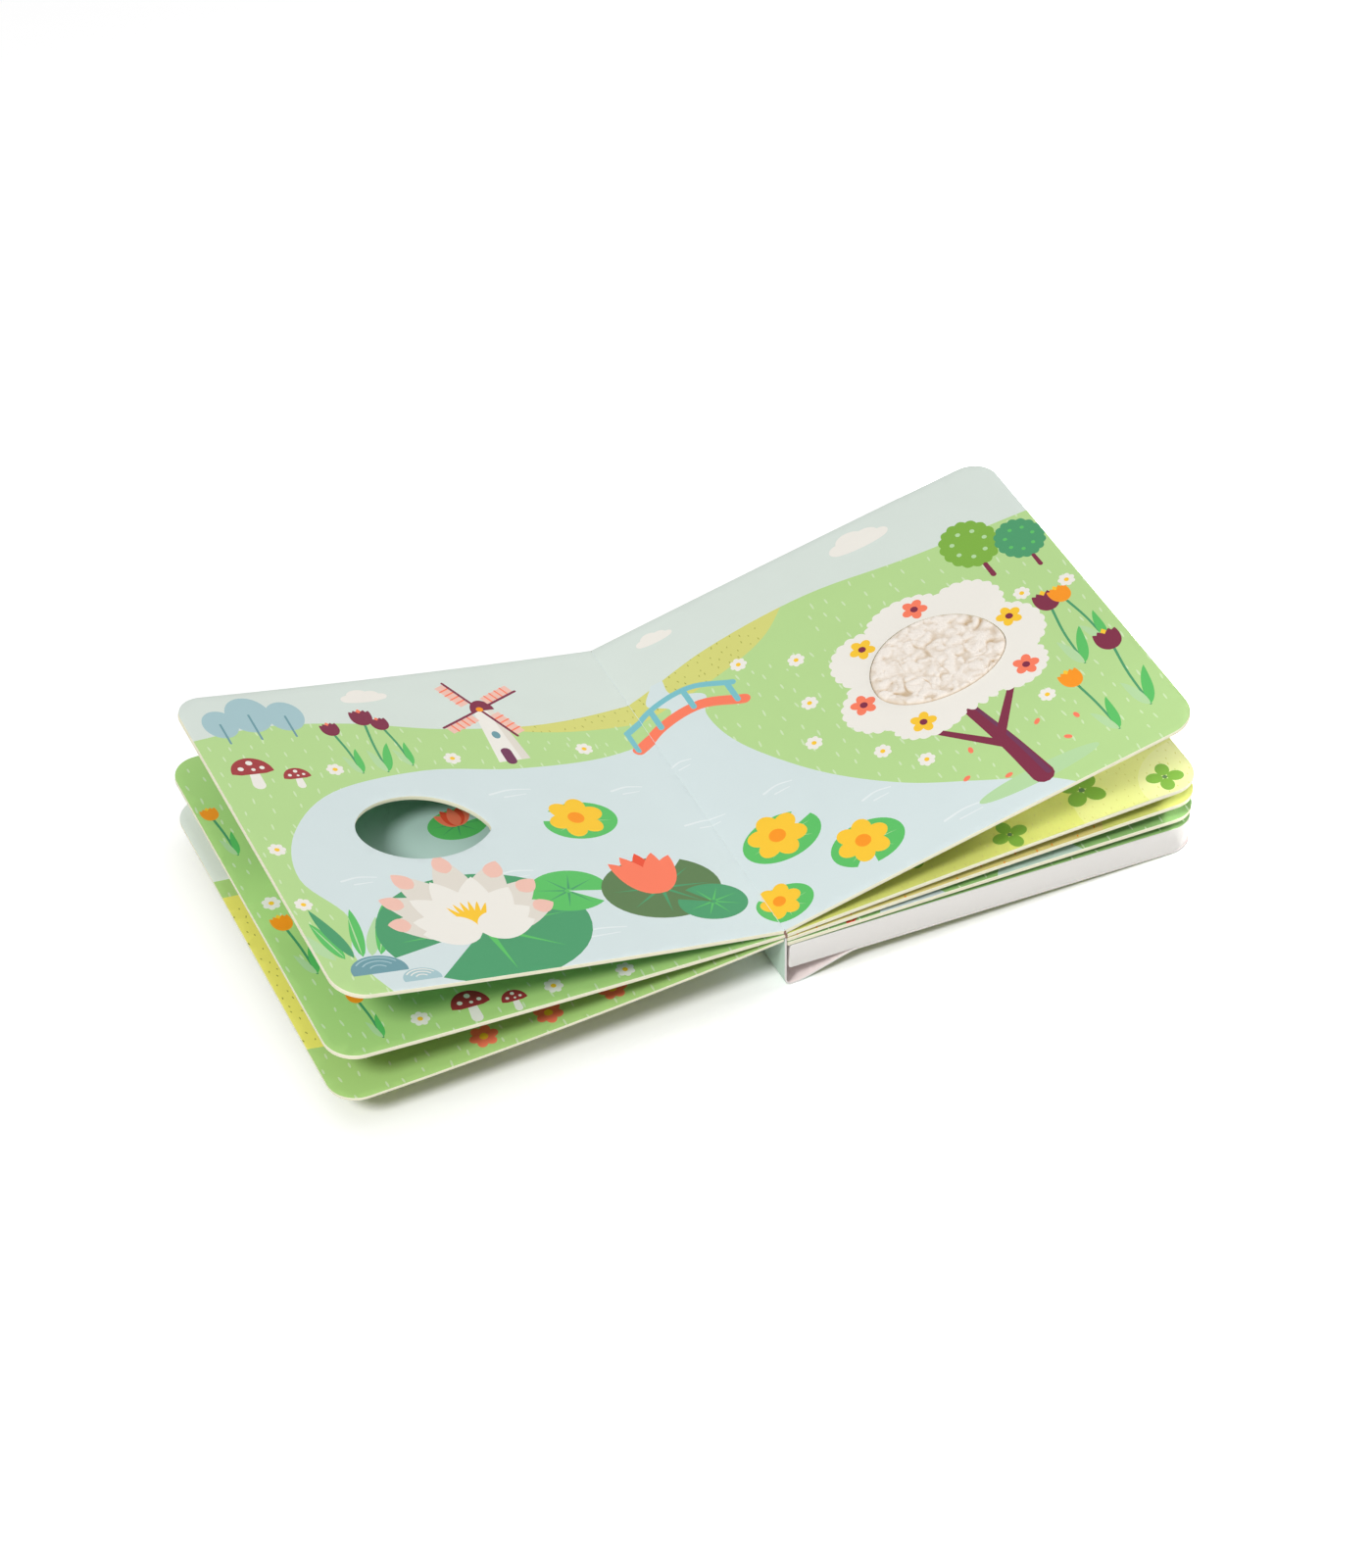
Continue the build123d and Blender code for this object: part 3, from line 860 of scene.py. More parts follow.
def build_card(
    name, path, thickness, rim, over, under, rounding,
    hole=None, window=None, window_depth=0.0, pitch=CARD_PITCH, edge=CARD_EDGE, finishes=None, folded=False,
):
    """A closed card with print on both sides, cut edges all round, and maybe a hole and a blind window."""
    outlines = [with_points_every(inset(rim, rounding), pitch)]
    cut = {}
    for kind, outline, grow in (("hole", hole, rounding), ("window", window, 0)):
        if outline is not None:
            cut[kind] = len(outlines)
            outlines.append(inset(outline, -grow) if grow else outline)
    first_over = len(outlines)
    outlines += [p for _, p in over.shapes]
    first_under = len(outlines)
    outlines += [p for _, p in under.shapes]
    flat, found, within = triangulate(outlines, lattice(outlines[0], pitch), CARD_MERGE)
    kept = [(t, i) for t, i in zip(found, within) if 0 in i and cut.get("hole") not in i]
    triangles, ids = zip(*kept)
    in_window = [cut.get("window") in i for i in ids]
    co, polygons, inks, slots = [], [], [], []
    colours = {k: linear(getattr(settings().inks, k)) for k in PrintInks.__annotations__}

    def layer(members, height, shift=None):
        """Adds the points of members at a height, and gives their new numbers."""
        start = sum(len(c) for c in co)
        uv = flat[members] if shift is None else flat[members] + shift
        co.append(path.place(uv[:, 0], uv[:, 1], height))
        return dict(zip(members, range(start, start + len(members))))

    def face(corners, ink_name, slot):
        polygons.append(corners)
        inks.append(colours[ink_name])
        slots.append(slot)

    def top_ink(inside, first, sheet):
        """Ink of the last shape of a sheet that a triangle is in."""
        last = max(i for i in inside if first <= i < first + len(sheet.shapes))
        return sheet.shapes[last - first][0]

    used = sorted({i for t in triangles for i in t})
    outer = [t for t, w in zip(triangles, in_window) if not w]
    top = layer(sorted({i for t in outer for i in t}), thickness)
    bottom = layer(used, 0.0)
    floor = {}
    if cut.get("window"):
        members = {i for t, w in zip(triangles, in_window) if w for i in t}
        floor = layer(sorted(members), thickness - window_depth)
    for t, i, w in zip(triangles, ids, in_window):
        if w:
            face([floor[k] for k in t], "core", 1)
        else:
            face([top[k] for k in t], top_ink(i, first_over, over), 0)
        face([bottom[k] for k in reversed(t)], top_ink(i, first_under, under), 0)
    beside = {pair: i for t, i in zip(triangles, ids) for pair in zip(t, t[1:] + t[:1])}
    for loop in boundary_loops(triangles):
        out = corner_normals(flat[loop])
        out *= (2 / np.sum(out**2, axis=1))[:, None]
        rings = [top]
        for share, depth in EDGE_STEPS:
            rings.append(layer(loop, thickness - depth * rounding, out * share * rounding))
        for share, depth in reversed(EDGE_STEPS):
            rings.append(layer(loop, depth * rounding, out * share * rounding))
        rings.append(bottom)
        for a, b in zip(loop, loop[1:] + loop[:1]):
            at_fold = folded and max(path.side * flat[[a, b], 0]) < FOLD_REACH
            inks_down = list(edge)
            if at_fold:
                inks_down[:2] = (None, None)
            for k, ink_name in enumerate(inks_down):
                printed, first = (over, first_over) if k < 2 else (under, first_under)
                ink_name = ink_name or top_ink(beside[a, b], first, printed)
                face([rings[k][a], rings[k + 1][a], rings[k + 1][b], rings[k][b]], ink_name, int(not at_fold))
    if floor:
        for loop in boundary_loops([t for t, w in zip(triangles, in_window) if w]):
            for a, b in zip(loop, loop[1:] + loop[:1]):
                face([floor[a], floor[b], top[b], top[a]], "core", 1)
    return piece(name, np.vstack(co), polygons, inks, slots, finishes or (printed_card(), cut_card()))


def piece(name, co, polygons, inks, slots, materials, at_points=False):
    """An object of the book from points in metres, with an ink for each face, or for each point."""
    mesh = bpy.data.meshes.new(name)
    mesh.from_pydata([tuple(p) for p in co], [], polygons)
    for material in materials:
        mesh.materials.append(material)
    mesh.polygons.foreach_set("material_index", slots)
    mesh.polygons.foreach_set("use_smooth", [True] * len(polygons))
    mesh.set_sharp_from_angle(angle=math.radians(SHARP_ANGLE))
    colour = mesh.color_attributes.new("ink", "FLOAT_COLOR", "POINT" if at_points else "CORNER")
    tint = np.c_[np.array(inks), np.ones(len(inks))]
    if not at_points:
        tint = np.repeat(tint, [len(p) for p in polygons], axis=0)
    colour.data.foreach_set("color", tint.ravel())
    mesh.validate()
    made = bpy.data.objects.new(name, mesh)
    bpy.context.scene.collection.objects.link(made)
    return made


# Finishes


class Nodes:
    """Nodes of a material or of the world under construction."""

    def __init__(self, tree):
        self.tree = tree

    def node(self, kind, inputs=None, **values):
        made = self.tree.nodes.new(kind)
        for key, value in values.items():
            setattr(made, key, value)
        return self.feed(made, inputs or {})

    def feed(self, node, inputs):
        """Sets a node's inputs, or links them where they come from another node."""
        for key, value in inputs.items():
            if isinstance(value, bpy.types.NodeSocket):
                self.tree.links.new(value, node.inputs[key])
            else:
                node.inputs[key].default_value = value
        return node

    def span(self, value, low, high, near=0, far=1, **values):
        """A value from near to far spread over low to high."""
        inputs = {"Value": value, "From Min": near, "From Max": far, "To Min": low, "To Max": high}
        return self.node("ShaderNodeMapRange", inputs, **values).outputs["Result"]

    def larger(self, a, b):
        return self.node("ShaderNodeMath", {0: a, 1: b}, operation="MAXIMUM").outputs[0]

    def axis(self, space, name):
        """One coordinate of the place that is shaded."""
        where = self.node("ShaderNodeTexCoord").outputs[space]
        return self.node("ShaderNodeSeparateXYZ", {"Vector": where}).outputs[name]


class Finish(Nodes):
    """A node material under construction; its colour starts from the ink of each face or point."""

    def __init__(self, name):
        self.material = bpy.data.materials.new(name)
        self.material.use_nodes = True
        super().__init__(self.material.node_tree)
        self.shader = self.tree.nodes["Principled BSDF"]
        self.colour = self.node("ShaderNodeAttribute", attribute_name="ink").outputs["Color"]

    def noise(self, scale, detail=3.0, stretch=(1, 1, 1)):
        """Noise in the piece's own metres; scale is in repeats per metre."""
        where = self.node("ShaderNodeTexCoord").outputs["Object"]
        at = self.node("ShaderNodeMapping", {"Vector": where, "Scale": stretch}).outputs["Vector"]
        made = self.node("ShaderNodeTexNoise", {"Vector": at, "Scale": scale, "Detail": detail})
        return made.outputs["Fac"]

    def mottle(self, low, high, *noise):
        """Multiplies the colour by low to high in patches."""
        inputs = {"Factor": 1, "A": self.colour, "B": self.span(self.noise(*noise), low, high)}
        made = self.node("ShaderNodeMix", inputs, data_type="RGBA", blend_type="MULTIPLY")
        self.colour = made.outputs["Result"]

    def surface(self, low, high, *noise, gloss):
        """Roughness from low to high in patches."""
        rough = self.span(self.noise(*noise), low, high)
        self.feed(self.shader, {"Base Color": self.colour, "Roughness": rough, "Specular IOR Level": gloss})

    def relief(self, strength, distance, *noise):
        """Fine bumps, their distance in metres."""
        inputs = {"Strength": strength, "Distance": distance, "Height": self.noise(*noise)}
        self.feed(self.shader, {"Normal": self.node("ShaderNodeBump", inputs).outputs["Normal"]})


def once(dress):
    """Makes a material the first time it is asked for."""

    def get():
        name = dress.__name__
        if name not in bpy.data.materials:
            dress(Finish(name))
        return bpy.data.materials[name]

    return get


@once
def printed_card(finish):
    """Satin print on white paper: slightly uneven ink over fine paper grain."""
    finish.mottle(0.975, 1.015, 55, 4)
    finish.mottle(0.975, 1.02, 2600, 2)
    finish.surface(0.4, 0.56, 900, gloss=0.36)
    finish.relief(0.12, 0.00006, 1500, 4)


@once
def cut_card(finish):
    """Cut edge of card: fibres lie along the edge."""
    finish.mottle(0.9, 1.03, 900, 4, (1, 1, 5))
    finish.mottle(0.96, 1.02, 60)
    finish.surface(0.72, 0.92, 700, gloss=0.2)
    finish.relief(0.3, 0.0001, 1300, 5, (1, 1, 4))


@once
def white_board(finish):
    """Smooth white board with a faint cloudiness."""
    finish.mottle(0.965, 1.02, 35, 4)
    finish.mottle(0.97, 1.02, 1100, 4, (1, 1, 3))
    finish.surface(0.6, 0.8, 500, gloss=0.25)
    finish.relief(0.18, 0.00008, 1000, 5)


@once
def wrap_card(finish):
    """Thin satin card of the wrap, a little wavy from folding."""
    finish.mottle(0.96, 1.02, 70, 3)
    finish.mottle(0.98, 1.01, 2200, 2)
    finish.surface(0.42, 0.6, 800, gloss=0.34)
    finish.relief(0.15, 0.0003, 160, 3, (1, 0.35, 1))


@once
def fleece_pile(finish):
    """Soft matt pile with a light sheen; the colour of its points is darker between its clumps, partly
    painted shade.
    """
    finish.mottle(0.95, 1.03, 1800, 4)
    finish.mottle(0.94, 1.03, 170, 3)
    finish.surface(0.88, 1.0, 900, gloss=0.1)
    finish.relief(0.5, 0.00025, 2400, 5)
    finish.feed(finish.shader, {"Sheen Weight": 0.25, "Sheen Roughness": 0.6})


# Operators


def levels():
    """Heights at the gutter in millimetres, from the table up, as the solids have them."""
    tilt = math.radians(BOARD_TILT)
    rise = (mm("page_width") - mm("wrap_thickness") - SPINE_GAP) * math.tan(tilt)
    last = rise + (mm("wrap_thickness") + mm("board_thickness")) / math.cos(tilt) + CLEARANCE
    pitch = mm("leaf_thickness") + LEAF_SPACING
    return {"last": last, "third": last + pitch, "lower": last + 2 * pitch, "open": last + 3 * pitch}


def leaf_path(name):
    """Line that the underside of a leaf follows, in millimetres."""
    side, level, lift, curl, _ = FAN[name]
    start = 0.0 if level == "open" else mm("wrap_thickness") + CLEARANCE
    return CardPath.bent(side, (start, levels()[level]), lift, curl, mm("page_width") - side * start)


def card_rim(near, path):
    """Outline of a page or board along a path, from near its start."""
    return page_outline(path.side * near, path.side * path.s[-1], mm("page_height"), mm("corner_radius"))


class BOOK_OT_leaves(bpy.types.Operator):
    """Builds the printed card leaves"""

    bl_idname = "book.leaves"
    bl_label = "Leaves"

    def execute(self, context):
        spread = open_spread()
        prints = {
            "open_left_leaf": (spread, plain_print("deep_green", "leaf", 21)),
            "lower_left_leaf": (lower_left_print(), plain_print("olive", "field", 22)),
            "open_right_leaf": (spread, plain_print("olive", "field", 23)),
            "second_right_leaf": (second_right_print(), plain_print("olive", "amber", 24)),
            "third_right_leaf": (third_right_print(), plain_print("moss", "grass", 25)),
            "last_right_leaf": (last_print(), plain_print("moss", "grass", 26)),
        }
        cuts = {
            "open_left_leaf": {"hole": peep_hole(mm("page_width"), mm("page_height")), "folded": True},
            "open_right_leaf": {
                "window": fleece_oval(0, 44) + fleece_middle(), "window_depth": WINDOW_DEPTH, "folded": True
            },
        }
        for name, (_, _, _, _, back) in FAN.items():
            path = leaf_path(name)
            leaf = build_card(
                name, path, mm("leaf_thickness"), card_rim(back, path), *prints[name], mm("edge_rounding"),
                **cuts.get(name, {}),
            )
            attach(leaf, "book")
        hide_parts("pages")
        return {"FINISHED"}


class BOOK_OT_glue(bpy.types.Operator):
    """Builds the glued strip that joins the leaves at the gutter, and a brown seam at its tail end that is
    partly glue and partly painted shade of the gap between the halves
    """

    bl_idname = "book.glue"
    bl_label = "Gutter glue"

    def execute(self, context):
        half, thick, heights = mm("page_height") / 2, mm("leaf_thickness"), levels()
        left, right = GLUE_REACH
        crest = heights["open"] + thick - GLUE_CREST_DROP
        inside = heights["open"] + GLUE_SHOULDER * thick
        under_left, under_right = heights["lower"] + thick / 2, heights["last"] + thick / 2
        block = [
            (-left, under_left), (GLUE_STEP, under_left), (GLUE_STEP, under_right), (right, under_right),
            (right, inside), (0, crest), (-left, inside),
        ]
        # The seam's brown is partly painted shade of the gap between the two halves
        line = [(x, heights["lower"] + share * (inside - heights["lower"])) for x, share in SEAM_LINE]
        side = SEAM_WIDTH / 2
        seam = [(x - side, z) for x, z in line] + [(x + side, z) for x, z in reversed(line)]
        for strip in (
            prism("gutter_glue", block, half - GLUE_INSET, "ripple"),
            prism("gutter_seam", seam, half + SEAM_PROUD, "glue"),
        ):
            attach(strip, "book")
        return {"FINISHED"}


def prism(name, outline, half, ink_name):
    """A bar of card along the gutter with a section given across it."""
    count = len(outline)
    co = [(x * MM, y * MM, z * MM) for y in (-half, half) for x, z in outline]
    polygons = [tuple(range(count)), tuple(reversed(range(count, 2 * count)))]
    polygons += [(count + i, count + (i + 1) % count, (i + 1) % count, i) for i in range(count)]
    colour = linear(getattr(settings().inks, ink_name))
    return piece(name, co, polygons, [colour] * len(polygons), [0] * len(polygons), (cut_card(),))


class BOOK_OT_front_cover(bpy.types.Operator):
    """Builds the front cover under the left leaves"""

    bl_idname = "book.front_cover"
    bl_label = "Front cover"

    def execute(self, context):
        half = mm("cover_thickness") / 2
        droop = math.radians(COVER_DROOP)
        hinge = np.array((-CLEARANCE - half, levels()["lower"] - CLEARANCE - half))
        start = hinge - half * np.array((-math.sin(droop), math.cos(droop)))
        path = CardPath.bent(LEFT, start, -COVER_DROOP, COVER_DROOP, mm("page_width") + hinge[0])
        cover = build_card(
            "front_cover_card", path, 2 * half, card_rim(-COVER_LAP, path),
            cover_lining_print(), cover_print(), mm("edge_rounding"),
        )
        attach(cover, "front_cover")
        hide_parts("front_cover")
        return {"FINISHED"}


class BOOK_OT_back_board(bpy.types.Operator):
    """Builds the thick white back board with its printed top"""

    bl_idname = "book.back_board"
    bl_label = "Back board"

    def execute(self, context):
        thick, wrap = mm("board_thickness"), mm("wrap_thickness")
        tilt = math.radians(BOARD_TILT)
        left = wrap + SPINE_GAP - BOARD_SHIFT
        span = mm("page_width") - left
        start = (left + wrap * math.sin(tilt), span * math.tan(tilt) + wrap * math.cos(tilt))
        path = CardPath.bent(RIGHT, start, -BOARD_TILT, 0.0, span / math.cos(tilt) - BOARD_INSET)
        path.nose = (BOARD_NOSE, thick / 2)
        lining, under = plain_print("grass", "grass_fleck", 31), Sheet("board")
        # Lines beside the first edge give the nose the points that it is rounded at
        for line in BOARD_NOSE_LINES:
            under.paint("board", [(-5, -5), (line, -5), (line, 190), (-5, 190)])
        board = build_card(
            "thick_board", path, thick, card_rim(0, path), lining, under, BOARD_ROUNDING,
            edge=WHITE_EDGE, finishes=(printed_card(), white_board()),
        )
        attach(board, "book")
        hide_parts("back_board")
        return {"FINISHED"}


class BOOK_OT_wrap(bpy.types.Operator):
    """Builds the thin card that is folded round the spine and glued under the board"""

    bl_idname = "book.wrap"
    bl_label = "Spine and back cover"

    def execute(self, context):
        wide, tilt = mm("page_width"), math.radians(BOARD_TILT)
        shoulder = (WRAP_GLUE_START, (wide - WRAP_GLUE_START) * math.tan(tilt))
        corners = [(0, levels()["lower"] - CLEARANCE), (0, 0), (WRAP_FLAT_REACH, 0), shoulder, (wide, 0)]
        path = folded_path(corners, WRAP_RADII)
        wrap = build_card(
            "spine_wrap", path, mm("wrap_thickness"), card_rim(0, path), Sheet("lining"), wrap_print(),
            WRAP_ROUNDING, pitch=WRAP_PITCH, edge=WHITE_EDGE, finishes=(wrap_card(), cut_card()),
        )
        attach(wrap, "book")
        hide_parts("spine_and_back_cover")
        return {"FINISHED"}


def folded_path(corners, radii):
    """A path along straight panels with rounded folds."""
    p = np.array(corners, float)
    heading = np.arctan2(*np.diff(p, axis=0).T[::-1])
    points, slopes = [p[0]], [heading[0]]
    for corner, before, after, radius in zip(p[1:-1], heading, heading[1:], radii):
        turn = after - before
        reach = radius * abs(math.tan(turn / 2))
        start = corner - reach * np.array((math.cos(before), math.sin(before)))
        centre = start + radius * math.copysign(1, turn) * np.array((-math.sin(before), math.cos(before)))
        for b in np.linspace(before, after, 13):
            points.append(centre - radius * math.copysign(1, turn) * np.array((-math.sin(b), math.cos(b))))
            slopes.append(b)
    return CardPath(RIGHT, points + [p[-1]], slopes + [heading[-1]])


class BOOK_OT_fleece(bpy.types.Operator):
    """Builds the fleece patch in its window"""

    bl_idname = "book.fleece"
    bl_label = "Fleece patch"

    def execute(self, context):
        look = settings().fleece
        rim = fleece_oval(FLEECE_MARGIN, 110)
        inner = lattice(rim, PILE_PITCH)
        room = fleece_reach(inner) - FLEECE_MARGIN - PILE_RIM_ROOM
        inner = inner[np.linalg.norm(inner / room, axis=1) < 1]
        flat, polygons, _ = triangulate([rim], inner, PILE_MERGE)
        height, depth = pile(flat, look.clump / MM, look.crown / MM)
        path, middle, thick = leaf_path("open_right_leaf"), fleece_middle(), mm("leaf_thickness")
        top = path.place(*(flat + middle).T, thick + height)
        (loop,) = boundary_loops(polygons)
        base = path.place(*(flat[loop] + middle).T, thick - WINDOW_DEPTH + PILE_BASE)
        start, count = len(flat), len(loop)
        for i in range(count):
            after = (i + 1) % count
            polygons.append((loop[i], start + i, start + after, loop[after]))
        polygons.append(tuple(reversed(range(start, start + count))))
        # Low places and the rim take the crease colour, partly painted shade; the sides and base are all
        # crease colour
        tip, crease = (np.array(linear(c)) for c in (look.pile, look.crease))
        tint = np.vstack([crease + (tip - crease) * depth[:, None], np.tile(crease, (count, 1))])
        slots = [0] * len(polygons)
        co = np.vstack([top, base])
        patch = piece("fleece_pile_patch", co, polygons, tint, slots, (fleece_pile(),), at_points=True)
        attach(patch, "book")
        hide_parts("fleece_patch")
        return {"FINISHED"}


def fleece_middle():
    """Widest place of the fleece, in page millimetres."""
    return np.array((FLEECE_PLACE * mm("page_width"), mm("page_height") / 2 + FLEECE_FROM_MIDDLE))


def fleece_reach(at):
    """Half length and half width of the oval on the side where each place lies."""
    half_width = np.where(at[:, 1] > 0, FLEECE_HEAD_REACH, FLEECE_TAIL_REACH)
    return np.c_[np.full(len(at), FLEECE_HALF_LENGTH), half_width]


def fleece_oval(margin, steps):
    """Two half ellipses that share their widest place, anticlockwise, drawn in by a margin."""
    a = np.linspace(0, math.tau, 2 * steps, endpoint=False)
    round_one = np.c_[np.cos(a), np.sin(a)]
    return round_one * (fleece_reach(round_one) - margin)


def waves(at, pitch, seed, count=14):
    """Smooth random hills from waves in many directions, about -1 to 1."""
    rng = np.random.default_rng(seed)
    turn, shift = rng.uniform(0, math.tau, (2, count))
    pace = math.tau / (pitch * rng.uniform(0.7, 1.5, count))
    ways = np.c_[np.cos(turn), np.sin(turn)] * pace[:, None]
    return np.sin(at @ ways.T + shift).sum(1) / math.sqrt(count / 2) / WAVE_PEAK


def curls(at, pitch, seed):
    """Soft domes of mixed sizes that lean on one another, from 0 between them to about 1."""
    rng = np.random.default_rng(seed)
    span = np.abs(at).max() + 2 * pitch
    middles = lattice(np.array([(-span, -span), (span, span)]), pitch)
    middles = middles + rng.uniform(-0.5, 0.5, middles.shape) * pitch
    reach = pitch * rng.uniform(*CURL_REACH, len(middles))
    tall = rng.uniform(*CURL_HEIGHT, len(middles))
    risen = np.empty(len(at))
    for part in np.array_split(np.arange(len(at)), 60):
        away = np.linalg.norm(at[part, None] - middles[None], axis=2) / reach
        dome = tall * np.sqrt(np.maximum(1 - away**2, 0))
        risen[part] = np.log(1 + np.expm1(CURL_BLEND * dome).sum(1)) / CURL_BLEND
    return risen / CURL_PEAK


def pile(at, clump, crown):
    """Height of the pile above the page, and how far each place's colour is from the crease colour, from 0 to
    1: low places and the rim get painted shade, partly the pile's own base.
    """
    from_rim = 1 - np.linalg.norm(at / (fleece_reach(at) - FLEECE_MARGIN), axis=1)
    edge = np.clip(from_rim / PILE_RIM_SHARE, 0, 1)
    edge = np.sqrt(1 - (1 - edge) ** 2)
    swirl = np.c_[waves(at, SWIRL_PITCH * clump, 1), waves(at, SWIRL_PITCH * clump, 2)] * SWIRL_REACH * clump
    fold = waves(at + swirl, FOLD_PITCH * clump, 4)
    deep = np.clip(0.5 + 0.7 * waves(at, CREASE_PITCH * clump, 7), 0, 1)
    crease = deep * np.exp(-((fold / CREASE_WIDTH) ** 2))
    eased = at + 0.5 * swirl
    lumps = LARGE_CURLS * curls(eased, clump, 3) + SMALL_CURLS * curls(eased, 0.5 * clump, 5)
    body = np.clip(0.1 + lumps - CREASE_DEPTH * crease, 0, 1)
    fuzz = FUZZ_HEIGHT * waves(at, FUZZ_PITCH, 6)
    height = edge * (crown * (PILE_LOW + (1 - PILE_LOW) * body) + fuzz) - PILE_RIM_DROP * (1 - edge)
    # The colour goes to the crease colour in low places and at the rim, where shade falls: painted shade
    unshaded = np.clip((body - SHOWN_FROM) / SHOWN_SPAN, 0, 1)
    return height, unshaded * (RIM_SHADE + (1 - RIM_SHADE) * edge)


def peep_hole(wide, tall):
    """Teardrop outline on the open left page, anticlockwise, its tip towards the gutter."""
    x, y = -HOLE_PLACE * wide, tall / 2 + HOLE_FROM_MIDDLE
    a = np.radians(np.linspace(90, 270, 41))
    half, tip = HOLE_HALF_HEIGHT, np.array(HOLE_TIP)

    def arc(side):
        """Arc from the widest place to the tip, level at its start."""
        rise = abs(tip[1] - side * half)
        radius = (tip[0] ** 2 + rise**2) / (2 * rise)
        end = math.asin(tip[0] / radius)
        b = np.linspace(0, end, 17)
        return np.c_[radius * np.sin(b), side * (half - radius * (1 - np.cos(b)))]

    round_end = np.c_[HOLE_ROUND_REACH * np.cos(a), half * np.sin(a)]
    low, high = arc(-1)[1:], arc(1)[1:-1][::-1]
    rim = np.vstack([round_end, low[:-1], low[-1] - (HOLE_TIP_BLUNT, 0), high])
    return rim + (x, y)


class BOOK_OT_stage(bpy.types.Operator):
    """Sets the floor, the light and the camera"""

    bl_idname = "book.stage"
    bl_label = "Stage"

    def execute(self, context):
        look = settings().stage
        scene = context.scene
        scene.view_settings.view_transform = "Standard"
        mesh = bpy.data.meshes.new("floor")
        corners = [(x * FLOOR_HALF, y * FLOOR_HALF, 0) for x, y in ((-1, -1), (1, -1), (1, 1), (-1, 1))]
        mesh.from_pydata(corners, [], [(0, 1, 2, 3)])
        floor = bpy.data.objects.new("floor", mesh)
        scene.collection.objects.link(floor)
        mesh.materials.append(white_floor(look.floor_white, look.backdrop_white))
        scene.world = white_surroundings(look.horizon, look.ambient)
        add_lamp("key_lamp", KEY_PLACE, look.key_size, look.key)
        add_lamp("fill_lamp", FILL_PLACE, look.fill_size, look.fill)
        add_lamp("side_lamp", SIDE_PLACE, look.side_size, look.side)
        across, along = RIGHT_AIM
        aim = Vector((across * mm("page_width"), along * mm("page_height"), levels()["open"])) * MM
        place = aim + Vector(RIGHT_FROM_AIM)
        add_lamp("right_lamp", place, look.right_size, look.right, aim, look.right_spread)
        add_camera(scene)
        return {"FINISHED"}


def seen_directly(nodes, unseen, seen):
    """One value where the camera, gloss or glass sees it, another for the light that falls on the book."""
    path = nodes.node("ShaderNodeLightPath").outputs
    direct = path["Is Camera Ray"]
    for kind in ("Is Glossy Ray", "Is Transmission Ray"):
        direct = nodes.larger(direct, path[kind])
    return nodes.span(direct, unseen, seen)


def white_floor(beside, beyond):
    """Pale floor that is seen as white, and whiter past both ends of the book, where long shadows fall."""
    material = bpy.data.materials.new("white_floor")
    material.use_nodes = True
    material.node_tree.nodes.clear()
    nodes = Nodes(material.node_tree)
    across = nodes.axis("Object", "X")
    end = mm("page_width") * MM
    left = nodes.span(across, beside, LEFT_LIFT * beside, LEFT_FADE[0] - end, LEFT_FADE[1] - end)
    right = nodes.span(across, beside, beyond, end - RIGHT_FADE, end + RIGHT_FADE)
    colour = seen_directly(nodes, FLOOR_PALE, nodes.larger(left, right))
    diffuse = nodes.node("ShaderNodeBsdfDiffuse", {"Color": colour})
    nodes.node("ShaderNodeOutputMaterial", {"Surface": diffuse.outputs[0]})
    return material


def white_surroundings(low, high):
    """White light all round, weak at the horizon and stronger overhead."""
    world = bpy.data.worlds.new("white_surroundings")
    world.use_nodes = True
    nodes = Nodes(world.node_tree)
    rise = nodes.span(nodes.axis("Generated", "Z"), low, high, interpolation_type="SMOOTHSTEP")
    strength = seen_directly(nodes, rise, 1)
    nodes.feed(world.node_tree.nodes["Background"], {"Color": (1, 1, 1, 1), "Strength": strength})
    return world


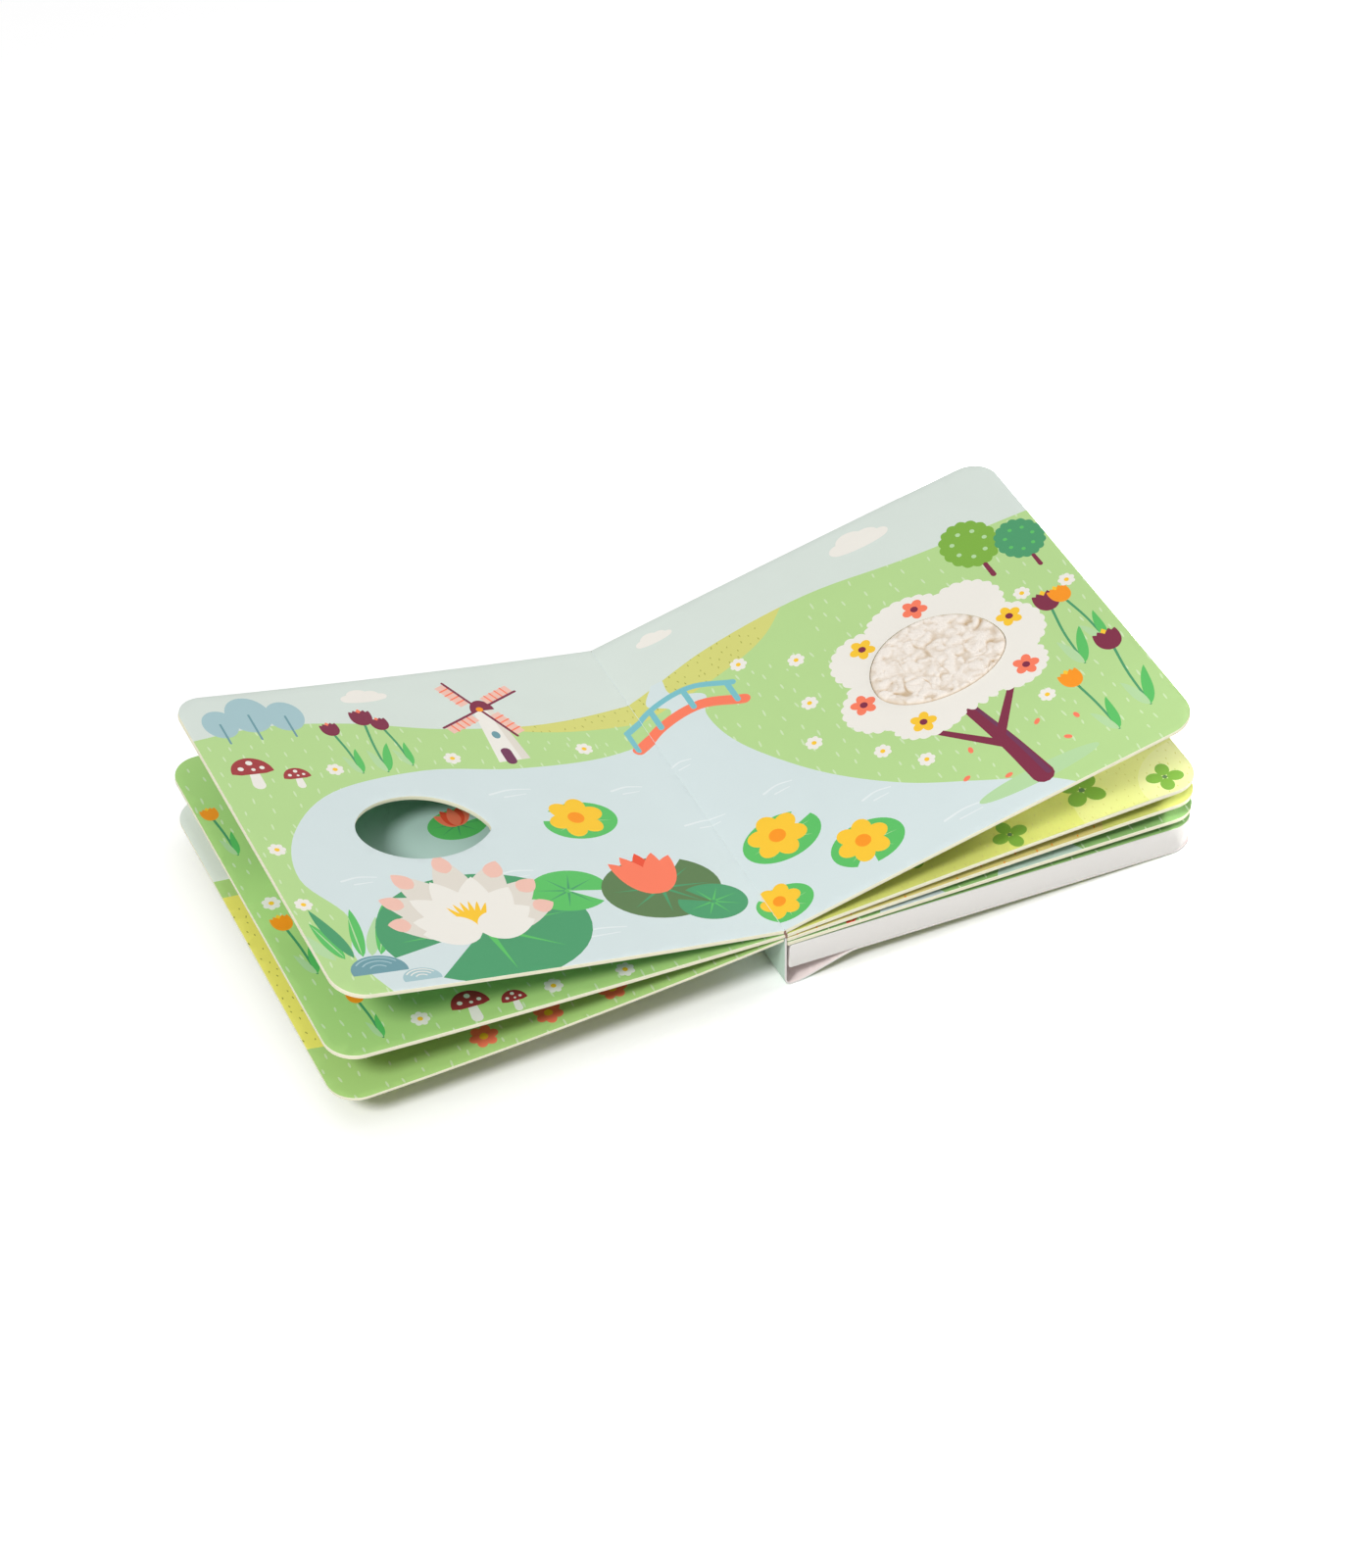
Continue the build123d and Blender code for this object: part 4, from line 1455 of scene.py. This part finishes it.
def add_lamp(name, place, size, power, aim=(0, 0, 0), spread=math.pi):
    """A round lamp that faces its aim."""
    data = bpy.data.lights.new(name, "AREA")
    data.shape = "DISK"
    data.size = size
    data.energy = power
    data.spread = spread
    lamp = bpy.data.objects.new(name, data)
    lamp.location = place
    lamp.rotation_mode = "QUATERNION"
    lamp.rotation_quaternion = (Vector(aim) - Vector(place)).to_track_quat("-Z", "Y")
    bpy.context.scene.collection.objects.link(lamp)


def add_camera(scene):
    """The camera that the photo's view was fitted with."""
    data = bpy.data.cameras.new("camera")
    data.sensor_width = SENSOR_WIDTH
    data.lens = LENS
    data.clip_end = VIEW_END
    camera = bpy.data.objects.new("camera", data)
    look = Vector(CAMERA_LOOK).normalized()
    right = Vector(CAMERA_RIGHT)
    right = (right - right.dot(look) * look).normalized()
    turn = Matrix((right, right.cross(look), -look)).transposed()
    camera.matrix_world = Matrix.Translation(CAMERA_PLACE) @ turn.to_4x4()
    scene.collection.objects.link(camera)
    scene.camera = camera


class BOOK_PT_panel(bpy.types.Panel):
    """Lists the steps that build the book"""

    bl_idname = "BOOK_PT_panel"
    bl_label = "Tactile book"
    bl_space_type = "VIEW_3D"
    bl_region_type = "UI"
    bl_category = "Book"

    def draw(self, context):
        for step in STEPS:
            self.layout.operator(step.bl_idname)


STEPS = (
    BOOK_OT_leaves,
    BOOK_OT_glue,
    BOOK_OT_front_cover,
    BOOK_OT_back_board,
    BOOK_OT_wrap,
    BOOK_OT_fleece,
    BOOK_OT_stage,
)
CLASSES = (BookSizes, PrintInks, FleeceLook, StageLook, BookSettings, *STEPS, BOOK_PT_panel)


def register():
    for cls in CLASSES:
        bpy.utils.register_class(cls)
    bpy.types.Scene.tactile_book = PointerProperty(type=BookSettings)


def unregister():
    del bpy.types.Scene.tactile_book
    for cls in reversed(CLASSES):
        bpy.utils.unregister_class(cls)


def main():
    register()
    for step in STEPS:
        group, name = step.bl_idname.split(".")
        getattr(getattr(bpy.ops, group), name)()


if __name__ == "__main__":
    main()
